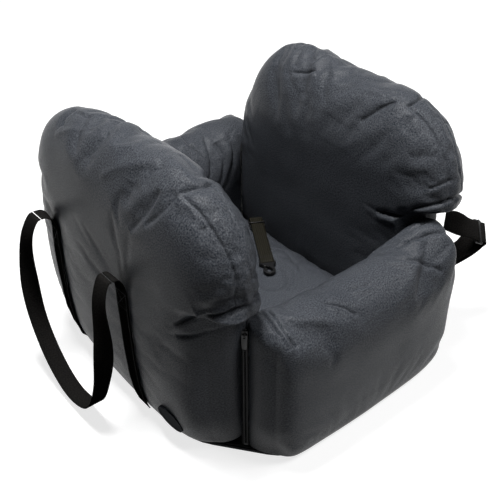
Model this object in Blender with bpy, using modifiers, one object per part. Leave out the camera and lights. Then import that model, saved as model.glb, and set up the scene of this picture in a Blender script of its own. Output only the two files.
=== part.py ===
"""Padded car seat for a small dog: two tall stuffed wings, a fixed back wall and a front wall that
unzips at both corners and folds down, round a floor cushion with a safety tether.

Metres, +Z up. The front (low wall with the zips) faces -Y and the wings stand at -X (left) and
+X (right). The origin is the middle of the underside of the base panel, on the floor.
"""
import math

import bmesh
import bpy
import numpy as np
from mathutils import Matrix, Vector
from mathutils.bvhtree import BVHTree

for old in list(bpy.data.objects):
    bpy.data.objects.remove(old, do_unlink=True)

# Overall sizes
SEAT_WIDTH = 0.560
SEAT_DEPTH = 0.630
WING_HEIGHT = 0.475
WING_THICKNESS = 0.140
WING_LENGTH = 0.530
FRONT_HEIGHT = 0.264
BACK_HEIGHT = 0.286
WALL_THICKNESS = 0.125
WALL_LENGTH = 0.456
TUCK_UNDER = 0.015
CLEARANCE = 0.0003
OVERRUN = 0.050

# Base panel with its cut corners, welt, stiffener and foam
BASE_WIDTH = 0.480
BASE_DEPTH = 0.564
BASE_THICKNESS = 0.006
CORNER_CUT_X = 0.095
CORNER_CUT_Y = 0.124
CORNER_ROUND = 0.035
WELT_RADIUS = 0.0030
BOARD_THICKNESS = 0.003
BOARD_INSET = 0.012
FOAM_HEIGHT = 0.042
FOAM_INSET = 0.008

# Floor cushion
CUSHION_TOP = 0.136
CUSHION_INSET = 0.002

# Corner zips
ZIP_FOOT_RISE = 0.006
ZIP_RUN = 0.238
ZIP_LEAN = 0.004
ZIP_SEAT = 0.062
ZIP_FOLD_ROOM = 0.0075
FOLD_OUT = 0.018
FOLD_RISE = 0.004
MITRE_TURN = 39.0
TAPE_THICKNESS = 0.0010
TAPE_WIDTH = 0.0030
TEETH_DEPTH = 0.0026
TEETH_WIDTH = 0.0026
TEETH_PITCH = 0.0042
TEETH_CORE = 0.0012
CHAIN_SPLIT = 0.0014
SLIDER_LENGTH = 0.015
SLIDER_WIDTH = 0.0088
SLIDER_PLATE = 0.0013
SLIDER_WEB = 0.0008
SLIDER_RUN_GAP = 0.0020
BAIL_THICKNESS = 0.0020
BAIL_RADIUS = 0.0032
BAIL_BORE = 0.0014
PULL_WIDTH = 0.0085
PULL_LENGTH = 0.026
PULL_THICKNESS = 0.0014
PULL_BAR = 0.0015
PULL_WINDOW = 0.0044
STOP_HEIGHT = 0.0040
ZIP_SPARE = 0.0130

# Carry handles
HANDLE_WEBBING = 0.030
WEBBING_THICKNESS = 0.0018
HANDLE_BACK_Y = 0.158
HANDLE_FRONT_Y = -0.055
HANDLE_TOP = 0.262
HANDLE_CROWN = 0.030
HANDLE_STAND_OFF = 0.055
HANDLE_FLOOR_GAP = 0.016

# Anchor strap at the right front corner
ANCHOR_WEBBING = 0.038
ANCHOR_Y = -0.215
ANCHOR_Z = 0.236
ANCHOR_REACH = 0.076
ANCHOR_FORWARD = 0.022
ANCHOR_DROP = 0.042
ANCHOR_BACK = 0.026
ANCHOR_APPROACH = 0.024
ANCHOR_LOOP_DROP = 0.110

# Safety tether on the floor cushion
TETHER_WEBBING = 0.025
TETHER_LENGTH = 0.142
TETHER_START_X = 0.112
TETHER_START_Y = 0.108
TETHER_TURN = 31.5
FOLD_BACK = 0.034
HOOK_THICKNESS = 0.0064
HOOK_ARM = 0.0020
HOOK_RING_RADIUS = 0.0110
HOOK_EYE_RADIUS = 0.0066
HOOK_RING_DROP = 0.0385
HOOK_BAR = 0.0030
HOOK_SLOT = 0.0052
HOOK_SHANK = 0.0180
GATE_THICKNESS = 0.0014
GATE_WIDTH = 0.0030
GATE_PIVOT_DROP = 0.0150
GATE_PIVOT_SIDE = 0.0062
GATE_PIN_RADIUS = 0.0010
GATE_ROOM = 0.0035
GATE_BOSS_RADIUS = 0.0027
SPRING_WIRE = 0.0004

# Buckles that the webbing runs through
GLIDE_BAR = 0.0026
GLIDE_PLATE = 0.0022
GLIDE_SLOT = 0.0060

# Plain round patch
PATCH_RADIUS = 0.027
PATCH_THICKNESS = 0.0036
PATCH_SINK = 0.0022
PATCH_Y = -0.140
PATCH_Z = 0.044
PATCH_RIM = 0.0030

# Shapes as shares of the sizes above, chosen by hand
WING_OUTLINE_SHARES = [
    (0.045, 0.000), (0.050, 0.250), (0.045, 0.480), (0.000, 0.660), (0.060, 0.870), (0.200, 0.990),
    (0.460, 1.000), (0.690, 0.985), (0.885, 0.900), (0.960, 0.700), (1.000, 0.420), (0.970, 0.000)]
WALL_OUTLINE_SHARES = [
    (0.000, 0.000), (0.000, 0.480), (0.000, 0.980), (0.160, 1.000), (0.500, 0.965),
    (0.840, 1.000), (1.000, 0.980), (1.000, 0.480), (1.000, 0.000), (0.500, 0.000)]
PAD_OUTLINE_SHARES = [
    (0.000, 0.060), (0.090, 0.000), (0.500, 0.000), (0.910, 0.000), (1.000, 0.060), (1.000, 0.500),
    (1.000, 0.940), (0.910, 1.000), (0.500, 1.000), (0.090, 1.000), (0.000, 0.940), (0.000, 0.500)]
SEAM_BAND_SHARE = 0.36
CUSHION_BAND_SHARE = 0.72
FIRST_RING_SHARE = 0.30
SECOND_RING_SHARE = 0.34
FIRST_RISE_SHARE = 0.72
CUSHION_RING_SHARE = 0.20
FORM_LEVELS = 2
DRUM_SIDES = 72
ANCHOR_OUTER_SHARES = [
    (0.064, 0.030, 0.000), (0.130, -0.035, -0.004), (0.125, -0.190, -0.050), (0.020, -0.380, -0.190)]
ANCHOR_INNER_SHARES = [
    (0.036, -0.036, 0.000), (0.062, -0.110, -0.002), (0.045, -0.230, -0.050), (-0.060, -0.350, -0.180)]
ANCHOR_TURN_SHARES = [0.0, 0.0, 0.1, 0.4, 0.8, 1.0]
STRIP_CROWDING = 1.8
SEWN_SHARE = 0.40
CROWN_OUT_SHARE = 0.34
NOSE_ANGLES = (35, 70)
CROWN_SHARES = [(0.10, 0.34), (0.28, 0.70), (0.58, 0.93), (0.86, 1.00), (1.00, 1.00)]
LOOP_SHARES = [
    (0.60, 1.000, 0.004), (0.84, 1.020, 0.100), (0.96, 1.070, 0.380), (1.05, 0.990, 0.680),
    (1.12, 0.740, 0.910), (1.16, 0.430, 1.000), (1.14, 0.150, 0.930), (1.06, -0.005, 0.680),
    (0.95, -0.050, 0.380), (0.84, -0.020, 0.100), (0.60, 0.000, 0.004)]
LOOP_TURN_SHARES = [0.00, 0.00, 0.10, 0.45, 0.95, 1.00, 1.00, 1.00, 0.95, 0.45, 0.10, 0.00, 0.00]
STRIP_STATIONS = 17
CORNER_GROW_SHARE = 0.5
PATCH_BOWL_SHARE = 0.25
STOP_EDGE_SHARE = 0.1
BAIL_PLACE_SHARE = 0.62
PULL_TAPER_SHARE = 0.6
PULL_TIP_SHARE = 0.7
GLIDE_END_SHARE = 1.5
GLIDE_TAIL_SHARE = 1.2
GLIDE_CORNER_SHARE = 1 / 6
ANCHOR_TILT = (0.47, 0.62, 0.63)
ANCHOR_ROOT_SHARE = 0.35
ANCHOR_RUN_SHARES = (0.34, 0.66)
ANCHOR_TURN_IN_SHARE = 0.4
TETHER_SEWN_SHARES = (0.0, 0.2, 0.4, 0.6, 0.8)
TETHER_RUN_SHARES = (0.03, 0.06, 0.3, 0.6, 0.9)
TETHER_BUCKLE_SHARE = 0.14
FOLD_SHARES = [(0.35, 0.2), (0.6, 1.0), (1.0, 1.0)]
HOOK_SHANK_SHARE = 0.25
HOOK_NOSE_SHARE = 0.95
HOOK_NECK_SHARE = 0.8
SPRING_TURNS = 1.6
SPRING_STEPS = 10

half_width = SEAT_WIDTH / 2
half_depth = SEAT_DEPTH / 2
inner_x = half_width - WING_THICKNESS
inner_y = half_depth - WALL_THICKNESS
base_half_x = BASE_WIDTH / 2
base_half_y = BASE_DEPTH / 2
stand = BASE_THICKNESS + CLEARANCE
skin = WEBBING_THICKNESS / 2 + CLEARANCE

parts = bpy.data.collections.new("dog_car_seat")
cutters = bpy.data.collections.new("cutters")
bpy.context.scene.collection.children.link(parts)
bpy.context.scene.collection.children.link(cutters)


def finish_material(name, colour, roughness, metallic=0.0):
    """A Principled material with one colour."""
    made = bpy.data.materials.new(name)
    made.use_nodes = True
    shader = made.node_tree.nodes["Principled BSDF"]
    shader.inputs["Base Color"].default_value = (*colour, 1.0)
    shader.inputs["Roughness"].default_value = roughness
    shader.inputs["Metallic"].default_value = metallic
    return made


SHELL = finish_material("woven_shell", (0.050, 0.056, 0.068), 0.62)
BASE = finish_material("base_cloth", (0.020, 0.021, 0.024), 0.75)
FOAM = finish_material("foam", (0.55, 0.54, 0.50), 0.90)
BOARD = finish_material("board", (0.30, 0.30, 0.31), 0.60)
WEBBING = finish_material("black_webbing", (0.018, 0.018, 0.019), 0.72)
TETHER = finish_material("ribbed_webbing", (0.034, 0.033, 0.030), 0.70)
TAPE = finish_material("zip_tape", (0.015, 0.015, 0.016), 0.75)
TEETH = finish_material("zip_teeth", (0.045, 0.045, 0.048), 0.40)
METAL = finish_material("blackened_metal", (0.060, 0.060, 0.063), 0.32, 0.9)
BRIGHT = finish_material("bright_metal", (0.62, 0.61, 0.58), 0.28, 1.0)
RUBBER = finish_material("patch_rubber", (0.022, 0.023, 0.026), 0.55)


def keep(name, mesh, material, collection=parts):
    """Make an object of a mesh and put it in its collection."""
    made = bpy.data.objects.new(name, mesh)
    collection.objects.link(made)
    if material is not None:
        mesh.materials.clear()
        mesh.materials.append(material)
    if collection is cutters:
        made.hide_render = True
        made.display_type = "WIRE"
    return made


def mesh_of(build, name):
    """Turn a bmesh into a mesh with its faces pointing out."""
    bmesh.ops.recalc_face_normals(build, faces=build.faces)
    mesh = bpy.data.meshes.new(name)
    build.to_mesh(mesh)
    build.free()
    return mesh


def evaluated(source, name):
    """The mesh of an object as its modifiers leave it, with loose caps welded."""
    bpy.context.view_layer.update()
    graph = bpy.context.evaluated_depsgraph_get()
    mesh = bpy.data.meshes.new_from_object(source.evaluated_get(graph))
    mesh.name = name
    build = bmesh.new()
    build.from_mesh(mesh)
    bmesh.ops.remove_doubles(build, verts=build.verts, dist=CLEARANCE / 10)
    build.to_mesh(mesh)
    build.free()
    return mesh


def combine(target, cutter, operation):
    """Cut, join or keep the common part, with a live Boolean."""
    step = target.modifiers.new(cutter.name, "BOOLEAN")
    step.operation = operation
    step.object = cutter
    return step


def apply_all(source):
    """Replace an object's mesh by what its modifiers make of it."""
    mesh = evaluated(source, source.name)
    source.modifiers.clear()
    source.data = mesh
    return source


def block(name, low, high, material, collection=parts):
    """A box between two corners."""
    build = bmesh.new()
    low, high = Vector(low), Vector(high)
    size = high - low
    centred = Matrix.Translation((low + high) / 2)
    bmesh.ops.create_cube(build, size=1.0, matrix=centred @ Matrix.Diagonal((*size, 1)))
    return keep(name, mesh_of(build, name), material, collection)


def tree_of(source):
    """A search tree over an object's evaluated surface, in world space."""
    bpy.context.view_layer.update()
    graph = bpy.context.evaluated_depsgraph_get()
    return BVHTree.FromObject(source, graph)


def stuffed(name, outline_shares, lows, highs, frame, material, rings=1, band_share=SEAM_BAND_SHARE,
            ring_share=FIRST_RING_SHARE):
    """A stuffed form: an outline sewn from two sides, with a narrow band at its edge and a crown.

    The cage is the outline drawn out by the band, then inset and raised on both sides. It is
    smoothed by subdivision and brought to the box between lows and highs. frame turns the
    outline's own axes (along, up, thick) into the seat's.
    """
    span = [high - low for low, high in zip(lows, highs)]
    band = span[2] * band_share / 2
    build = bmesh.new()
    ring = [build.verts.new((lows[0] + a * span[0], lows[1] + b * span[1], -band))
            for a, b in outline_shares]
    face = build.faces.new(ring)
    moved = bmesh.ops.extrude_face_region(build, geom=[face])
    top = [item for item in moved["geom"] if isinstance(item, bmesh.types.BMFace)]
    lifted = [item for item in moved["geom"] if isinstance(item, bmesh.types.BMVert)]
    bmesh.ops.translate(build, verts=lifted, vec=(0, 0, 2 * band))
    bmesh.ops.recalc_face_normals(build, faces=build.faces)
    rise = span[2] / 2 - band
    reach = min(span[0], span[1]) / 2
    for side in (face, top[0]):
        bmesh.ops.inset_region(build, faces=[side], thickness=reach * ring_share,
                               depth=rise * FIRST_RISE_SHARE)
        if rings > 1:
            bmesh.ops.inset_region(build, faces=[side], thickness=reach * SECOND_RING_SHARE,
                                   depth=rise * (1 - FIRST_RISE_SHARE))
    made = keep(name, mesh_of(build, name), material)
    smooth = made.modifiers.new("stuffing", "SUBSURF")
    smooth.levels = FORM_LEVELS
    smooth.render_levels = FORM_LEVELS
    apply_all(made)
    count = len(made.data.vertices)
    points = np.empty(count * 3, np.float32)
    made.data.vertices.foreach_get("co", points)
    points = points.reshape(-1, 3)
    least, most = points.min(0), points.max(0)
    thick = (-span[2] / 2, span[2] / 2)
    wanted_low = np.array((lows[0], lows[1], thick[0]))
    wanted_high = np.array((highs[0], highs[1], thick[1]))
    points = wanted_low + (points - least) / (most - least) * (wanted_high - wanted_low)
    points[:, 2] += (lows[2] + highs[2]) / 2
    points = points @ np.array(frame, np.float32)
    made.data.vertices.foreach_set("co", points.ravel())
    made.data.update()
    made.data.shade_smooth()
    return made


def smooth_path(points, steps, even=True):
    """Points along a Catmull-Rom curve through the given ones, each span cut in the same steps.

    even takes all spans as equally long. Otherwise each counts by the root of its length, which
    keeps a curve from looping where long spans meet short ones.
    """
    points = np.array(points, float)
    ends = np.vstack([2 * points[0] - points[1], points, 2 * points[-1] - points[-2]])
    share = np.linspace(0, 1, steps, endpoint=False)[:, None]
    spans = []
    for a, b, c, d in zip(ends[:-3], ends[1:-2], ends[2:-1], ends[3:]):
        lengths = [1, 1, 1] if even else [np.linalg.norm(q - p) ** 0.5 for p, q in ((a, b), (b, c), (c, d))]
        k0, k1, k2, k3 = np.cumsum([0, *lengths])
        k = k1 + (k2 - k1) * share
        first = (a * (k1 - k) + b * (k - k0)) / (k1 - k0)
        second = (b * (k2 - k) + c * (k - k1)) / (k2 - k1)
        third = (c * (k3 - k) + d * (k - k2)) / (k3 - k2)
        left = (first * (k2 - k) + second * (k - k0)) / (k2 - k0)
        right = (second * (k3 - k) + third * (k - k1)) / (k3 - k1)
        spans.append((left * (k2 - k) + right * (k - k1)) / (k2 - k1))
    return np.vstack(spans + [points[-1:]])


def ribbon(name, route, across, width, thickness, material, steps=3, noses=()):
    """Flat webbing: a rectangle carried along a route, its width lying along the across vectors.

    noses lists the ends, 0 or -1, that are rounded over, so that one can turn beside another.
    """
    path = smooth_path(route, steps, even=False)
    side = smooth_path(across, steps)
    along = np.gradient(path, axis=0)
    along /= np.linalg.norm(along, axis=1, keepdims=True)
    side -= (side * along).sum(1, keepdims=True) * along
    side /= np.linalg.norm(side, axis=1, keepdims=True)
    face = np.cross(along, side)
    stations = [(centre, wide, up * thickness / 2) for centre, wide, up in zip(path, side, face)]
    for end in noses:
        outward = along[end] if end else -along[end]
        tips = []
        for degrees in NOSE_ANGLES:
            bend = math.radians(degrees)
            tips.append((path[end] + outward * thickness / 2 * math.sin(bend), side[end],
                         face[end] * thickness / 2 * math.cos(bend)))
        stations = stations + tips if end else tips[::-1] + stations
    build = bmesh.new()
    rows = []
    for centre, wide, up in stations:
        corners = ((-1, -1), (1, -1), (1, 1), (-1, 1))
        rows.append([build.verts.new(centre + wide * width / 2 * a + up * b) for a, b in corners])
    for first, second in zip(rows[:-1], rows[1:]):
        for k in range(4):
            build.faces.new((first[k], first[(k + 1) % 4], second[(k + 1) % 4], second[k]))
    build.faces.new(rows[0])
    build.faces.new(rows[-1])
    bmesh.ops.triangulate(build, faces=build.faces[:])
    return keep(name, mesh_of(build, name), material)


def arc(centre, radius, first, last, steps):
    """Points on an arc, angles in degrees."""
    angles = np.radians(np.linspace(first, last, steps))
    return [(centre[0] + radius * math.cos(t), centre[1] + radius * math.sin(t)) for t in angles]


def rounded(corners, radius, steps=5):
    """An outline whose corners are replaced by short smooth bends."""
    points = []
    count = len(corners)
    for k in range(count):
        here = Vector(corners[k])
        back = (Vector(corners[k - 1]) - here).normalized() * radius
        ahead = (Vector(corners[(k + 1) % count]) - here).normalized() * radius
        for share in np.linspace(0, 1, steps):
            points.append(here + back * (1 - share) ** 2 + ahead * share ** 2)
    return points


def flat(name, outlines, thickness, material, collection=parts):
    """A flat outline, holes included, drawn out to a thickness about its own plane."""
    curve = bpy.data.curves.new(name, "CURVE")
    curve.dimensions = "2D"
    curve.fill_mode = "BOTH"
    curve.extrude = thickness / 2
    for outline in outlines:
        spline = curve.splines.new("POLY")
        spline.points.add(len(outline) - 1)
        for point, place in zip(spline.points, outline):
            point.co = (place[0], place[1], 0, 1)
        spline.use_cyclic_u = True
    guide = bpy.data.objects.new(name + "_curve", curve)
    parts.objects.link(guide)
    mesh = evaluated(guide, name)
    bpy.data.objects.remove(guide, do_unlink=True)
    return keep(name, mesh, material, collection)


def rod(name, route, radius, material, closed=False, sides=2, collection=parts):
    """A round rod or cord along a route."""
    curve = bpy.data.curves.new(name, "CURVE")
    curve.dimensions = "3D"
    curve.bevel_depth = radius
    curve.bevel_resolution = sides
    curve.use_fill_caps = not closed
    spline = curve.splines.new("POLY")
    spline.points.add(len(route) - 1)
    for point, place in zip(spline.points, route):
        point.co = (*place, 1)
    spline.use_cyclic_u = closed
    guide = bpy.data.objects.new(name + "_curve", curve)
    parts.objects.link(guide)
    mesh = evaluated(guide, name)
    bpy.data.objects.remove(guide, do_unlink=True)
    return keep(name, mesh, material, collection)


def disc(name, radius, low, high, material, sides=24, collection=parts):
    """A round post along its own Z."""
    build = bmesh.new()
    bmesh.ops.create_cone(build, cap_ends=True, segments=sides, radius1=radius, radius2=radius,
                          depth=high - low, matrix=Matrix.Translation((0, 0, (low + high) / 2)))
    return keep(name, mesh_of(build, name), material, collection)


def bevel(target, width, segments=2):
    """Round the sharp edges a little."""
    step = target.modifiers.new("edges", "BEVEL")
    step.width = width
    step.segments = segments
    step.limit_method = "ANGLE"


def place(target, frame):
    """Stand a piece in a frame of its own."""
    target.matrix_world = frame @ target.matrix_world
    return target


def frame_at(origin, x_axis, y_axis, z_axis):
    """A placing matrix from an origin and three square axes."""
    turn = Matrix((x_axis, y_axis, z_axis)).transposed().to_4x4()
    return Matrix.Translation(origin) @ turn


ALONG_Y = ((0, 1, 0), (0, 0, 1), (1, 0, 0))
ALONG_X = ((1, 0, 0), (0, 0, 1), (0, -1, 0))
FLAT = ((1, 0, 0), (0, 1, 0), (0, 0, 1))


def base_outline(grow):
    """The base panel's outline with its four cut corners, grown outwards by a margin."""
    x, y = base_half_x + grow, base_half_y + grow
    cut_x, cut_y = CORNER_CUT_X + grow * CORNER_GROW_SHARE, CORNER_CUT_Y + grow * CORNER_GROW_SHARE
    corners = [(x, y - cut_y), (x - cut_x, y), (-x + cut_x, y), (-x, y - cut_y),
               (-x, -y + cut_y), (-x + cut_x, -y), (x - cut_x, -y), (x, -y + cut_y)]
    return rounded(corners, CORNER_ROUND)


def make_base():
    """Bottom panel, welt round its edge, stiffener board and foam block."""
    panel = flat("base_panel", [base_outline(0)], BASE_THICKNESS, BASE)
    panel.location.z = BASE_THICKNESS / 2
    grown = base_outline(WELT_RADIUS + CLEARANCE)
    rod("base_welt", [(p[0], p[1], WELT_RADIUS) for p in grown], WELT_RADIUS, BASE, closed=True, sides=1)
    low = stand
    high = low + BOARD_THICKNESS
    x, y = inner_x - BOARD_INSET, inner_y - BOARD_INSET
    block("floor_board", (-x, -y, low), (x, y, high), BOARD)
    low = high + CLEARANCE
    high = low + FOAM_HEIGHT
    x, y = inner_x - FOAM_INSET, inner_y - FOAM_INSET
    foam = block("floor_foam", (-x, -y, low), (x, y, high), FOAM)
    bevel(foam, FOAM_INSET / 2, 1)
    return high


def swing_drum(name, radius, inset):
    """The space that the folding front wall sweeps: a drum about the fold line, ends cut to the mitre."""
    build = bmesh.new()
    lie = Matrix.Translation((0, fold_y, fold_z)) @ Matrix.Rotation(math.radians(90), 4, "Y")
    bmesh.ops.create_cone(build, cap_ends=True, segments=DRUM_SIDES, radius1=radius, radius2=radius,
                          depth=SEAT_WIDTH + OVERRUN, matrix=lie)
    for side in (-1, 1):
        corner = Vector((side * (inner_x - inset), -inner_y, 0))
        outward = Vector((side * mitre_dir.y, mitre_dir.x, 0))
        every = build.verts[:] + build.edges[:] + build.faces[:]
        cut = bmesh.ops.bisect_plane(build, geom=every, plane_co=corner, plane_no=outward, clear_outer=True)
        rim = [item for item in cut["geom_cut"] if isinstance(item, bmesh.types.BMEdge)]
        bmesh.ops.edgenet_fill(build, edges=rim)
    return keep(name, mesh_of(build, name), None, cutters)


def back_bay(name, height, inset):
    """The bay that the back wall fills, its ends cut to the mitre."""
    build = bmesh.new()
    size = Vector((1, OVERRUN + WALL_THICKNESS, height + OVERRUN))
    centre = Vector((0, inner_y + size.y / 2, height - size.z / 2))
    bmesh.ops.create_cube(build, size=1.0, matrix=Matrix.Translation(centre) @ Matrix.Diagonal((*size, 1)))
    for point in build.verts:
        reach = mitre_x(-point.co.y) - inset
        point.co.x = math.copysign(reach, point.co.x)
    return keep(name, mesh_of(build, name), None, cutters)


# The mitre between a wing and a wall runs outwards from the cabin's corner
mitre_dir = Vector((math.cos(math.radians(MITRE_TURN)), math.sin(math.radians(MITRE_TURN))))
mitre_slope = mitre_dir.x / mitre_dir.y


def mitre_x(y):
    """Half width of the front wall's bay at a place in depth."""
    return inner_x + (-y - inner_y) * mitre_slope


# The front wall folds about a line just outside the front edge of the base panel
fold_y = -base_half_y - FOLD_OUT
fold_z = FOLD_RISE
wall_top = FRONT_HEIGHT - fold_z
wall_mid = fold_y - (-half_depth + WALL_THICKNESS / 2)
swing_radius = math.hypot(wall_top, wall_mid) + CLEARANCE

foam_top = make_base()

ground = block("ground_cutter", (-half_width - OVERRUN, -half_depth - OVERRUN, -TUCK_UNDER - OVERRUN),
               (half_width + OVERRUN, half_depth + OVERRUN, stand), None, cutters)
wing_drum = swing_drum("wing_drum", swing_radius + CLEARANCE * 2, 0)
wall_drum = swing_drum("wall_drum", swing_radius, CLEARANCE)
wing_bay = back_bay("wing_bay", BACK_HEIGHT + CLEARANCE * 2, 0)
wall_bay = back_bay("wall_bay", BACK_HEIGHT + CLEARANCE, CLEARANCE)


def zip_frame(side):
    """A frame at the foot of a corner zip: x outwards, y across the tapes, z up the chain."""
    seat = Vector((inner_x, inner_y)) + mitre_dir * ZIP_SEAT
    foot = Vector((side * seat.x, -seat.y, stand + ZIP_FOOT_RISE))
    outward = Vector((side * mitre_dir.x, -mitre_dir.y, 0))
    up = (Vector((0, 0, ZIP_RUN)) + outward * ZIP_LEAN).normalized()
    across = up.cross(outward).normalized()
    outward = across.cross(up).normalized()
    return frame_at(foot, outward, across, up)


def zip_channel(side, owner, depth):
    """The channel that the zip lies in, cut from the wing, and deeper from the wall, which swings past."""
    half = CHAIN_SPLIT / 2 + TEETH_WIDTH + CLEARANCE + TAPE_WIDTH + CLEARANCE
    floor = TEETH_DEPTH / 2 + SLIDER_PLATE + CLEARANCE * 3 + depth
    made = block(f"zip_channel_{owner}_{'left' if side < 0 else 'right'}", (-floor, -half, -OVERRUN),
                 (OVERRUN, half, ZIP_RUN + OVERRUN / 2), None, cutters)
    return place(made, zip_frame(side))


def make_patch(wing):
    """Bare round rubber patch, sunk in a flat seat low on the left wing."""
    tree = tree_of(wing)
    spot, normal, _, _ = tree.find_nearest(Vector((-half_width, PATCH_Y, PATCH_Z)))
    upright = Vector((0, 0, 1))
    level = upright.cross(normal).normalized()
    rise = normal.cross(level).normalized()
    lie = frame_at(spot, level, rise, normal)
    seat = disc("patch_seat", PATCH_RADIUS + CLEARANCE * 2, -PATCH_SINK, OVERRUN, None, 40, cutters)
    place(seat, lie)
    top = PATCH_THICKNESS - PATCH_SINK
    patch = disc("round_patch", PATCH_RADIUS, -PATCH_SINK + CLEARANCE, top, RUBBER, 40)
    bowl = disc("patch_bowl", PATCH_RADIUS - PATCH_RIM, top - PATCH_RIM * PATCH_BOWL_SHARE,
                OVERRUN, None, 40, cutters)
    place(bowl, lie)
    place(patch, lie)
    combine(patch, bowl, "DIFFERENCE")
    combine(wing, seat, "DIFFERENCE")


def make_wings():
    """The two tall stuffed sides."""
    wings = {}
    for side, name in ((-1, "left_wing"), (1, "right_wing")):
        outer, inner = side * half_width, side * inner_x
        wing = stuffed(name, WING_OUTLINE_SHARES,
                       (-WING_LENGTH / 2, -TUCK_UNDER, min(outer, inner)),
                       (WING_LENGTH / 2, WING_HEIGHT, max(outer, inner)), ALONG_Y, SHELL)
        for cutter in (ground, wing_drum, wing_bay, zip_channel(side, "wing", 0)):
            combine(wing, cutter, "DIFFERENCE")
        wings[side] = wing
    make_patch(wings[-1])
    return {side: apply_all(wing) for side, wing in wings.items()}


def make_walls():
    """The folding front wall and the fixed back wall."""
    reach = WALL_LENGTH / 2
    front = stuffed("front_wall", WALL_OUTLINE_SHARES, (-reach, -TUCK_UNDER, inner_y),
                    (reach, FRONT_HEIGHT, half_depth), ALONG_X, SHELL)
    combine(front, ground, "DIFFERENCE")
    combine(front, wall_drum, "INTERSECT")
    for side in (-1, 1):
        combine(front, zip_channel(side, "wall", ZIP_FOLD_ROOM - TEETH_DEPTH), "DIFFERENCE")
    back = stuffed("back_wall", WALL_OUTLINE_SHARES, (-reach, -TUCK_UNDER, -half_depth),
                   (reach, BACK_HEIGHT, -inner_y), ALONG_X, SHELL)
    combine(back, ground, "DIFFERENCE")
    combine(back, wall_bay, "INTERSECT")
    return apply_all(front), apply_all(back)


def make_cushion(low):
    """The floor cushion: crowned, sides drawn in, with two sewn channels across it."""
    x, y = inner_x - CUSHION_INSET, inner_y - CUSHION_INSET
    height = CUSHION_TOP - low
    cushion = stuffed("seat_cushion", PAD_OUTLINE_SHARES, (-x, -y, low - height),
                      (x, y, CUSHION_TOP), FLAT, SHELL, rings=2,
                      band_share=CUSHION_BAND_SHARE, ring_share=CUSHION_RING_SHARE)
    floor = block("cushion_floor", (-half_width, -half_depth, low - height - OVERRUN),
                  (half_width, half_depth, low + CLEARANCE), None, cutters)
    combine(cushion, floor, "DIFFERENCE")
    return apply_all(cushion)


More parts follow.
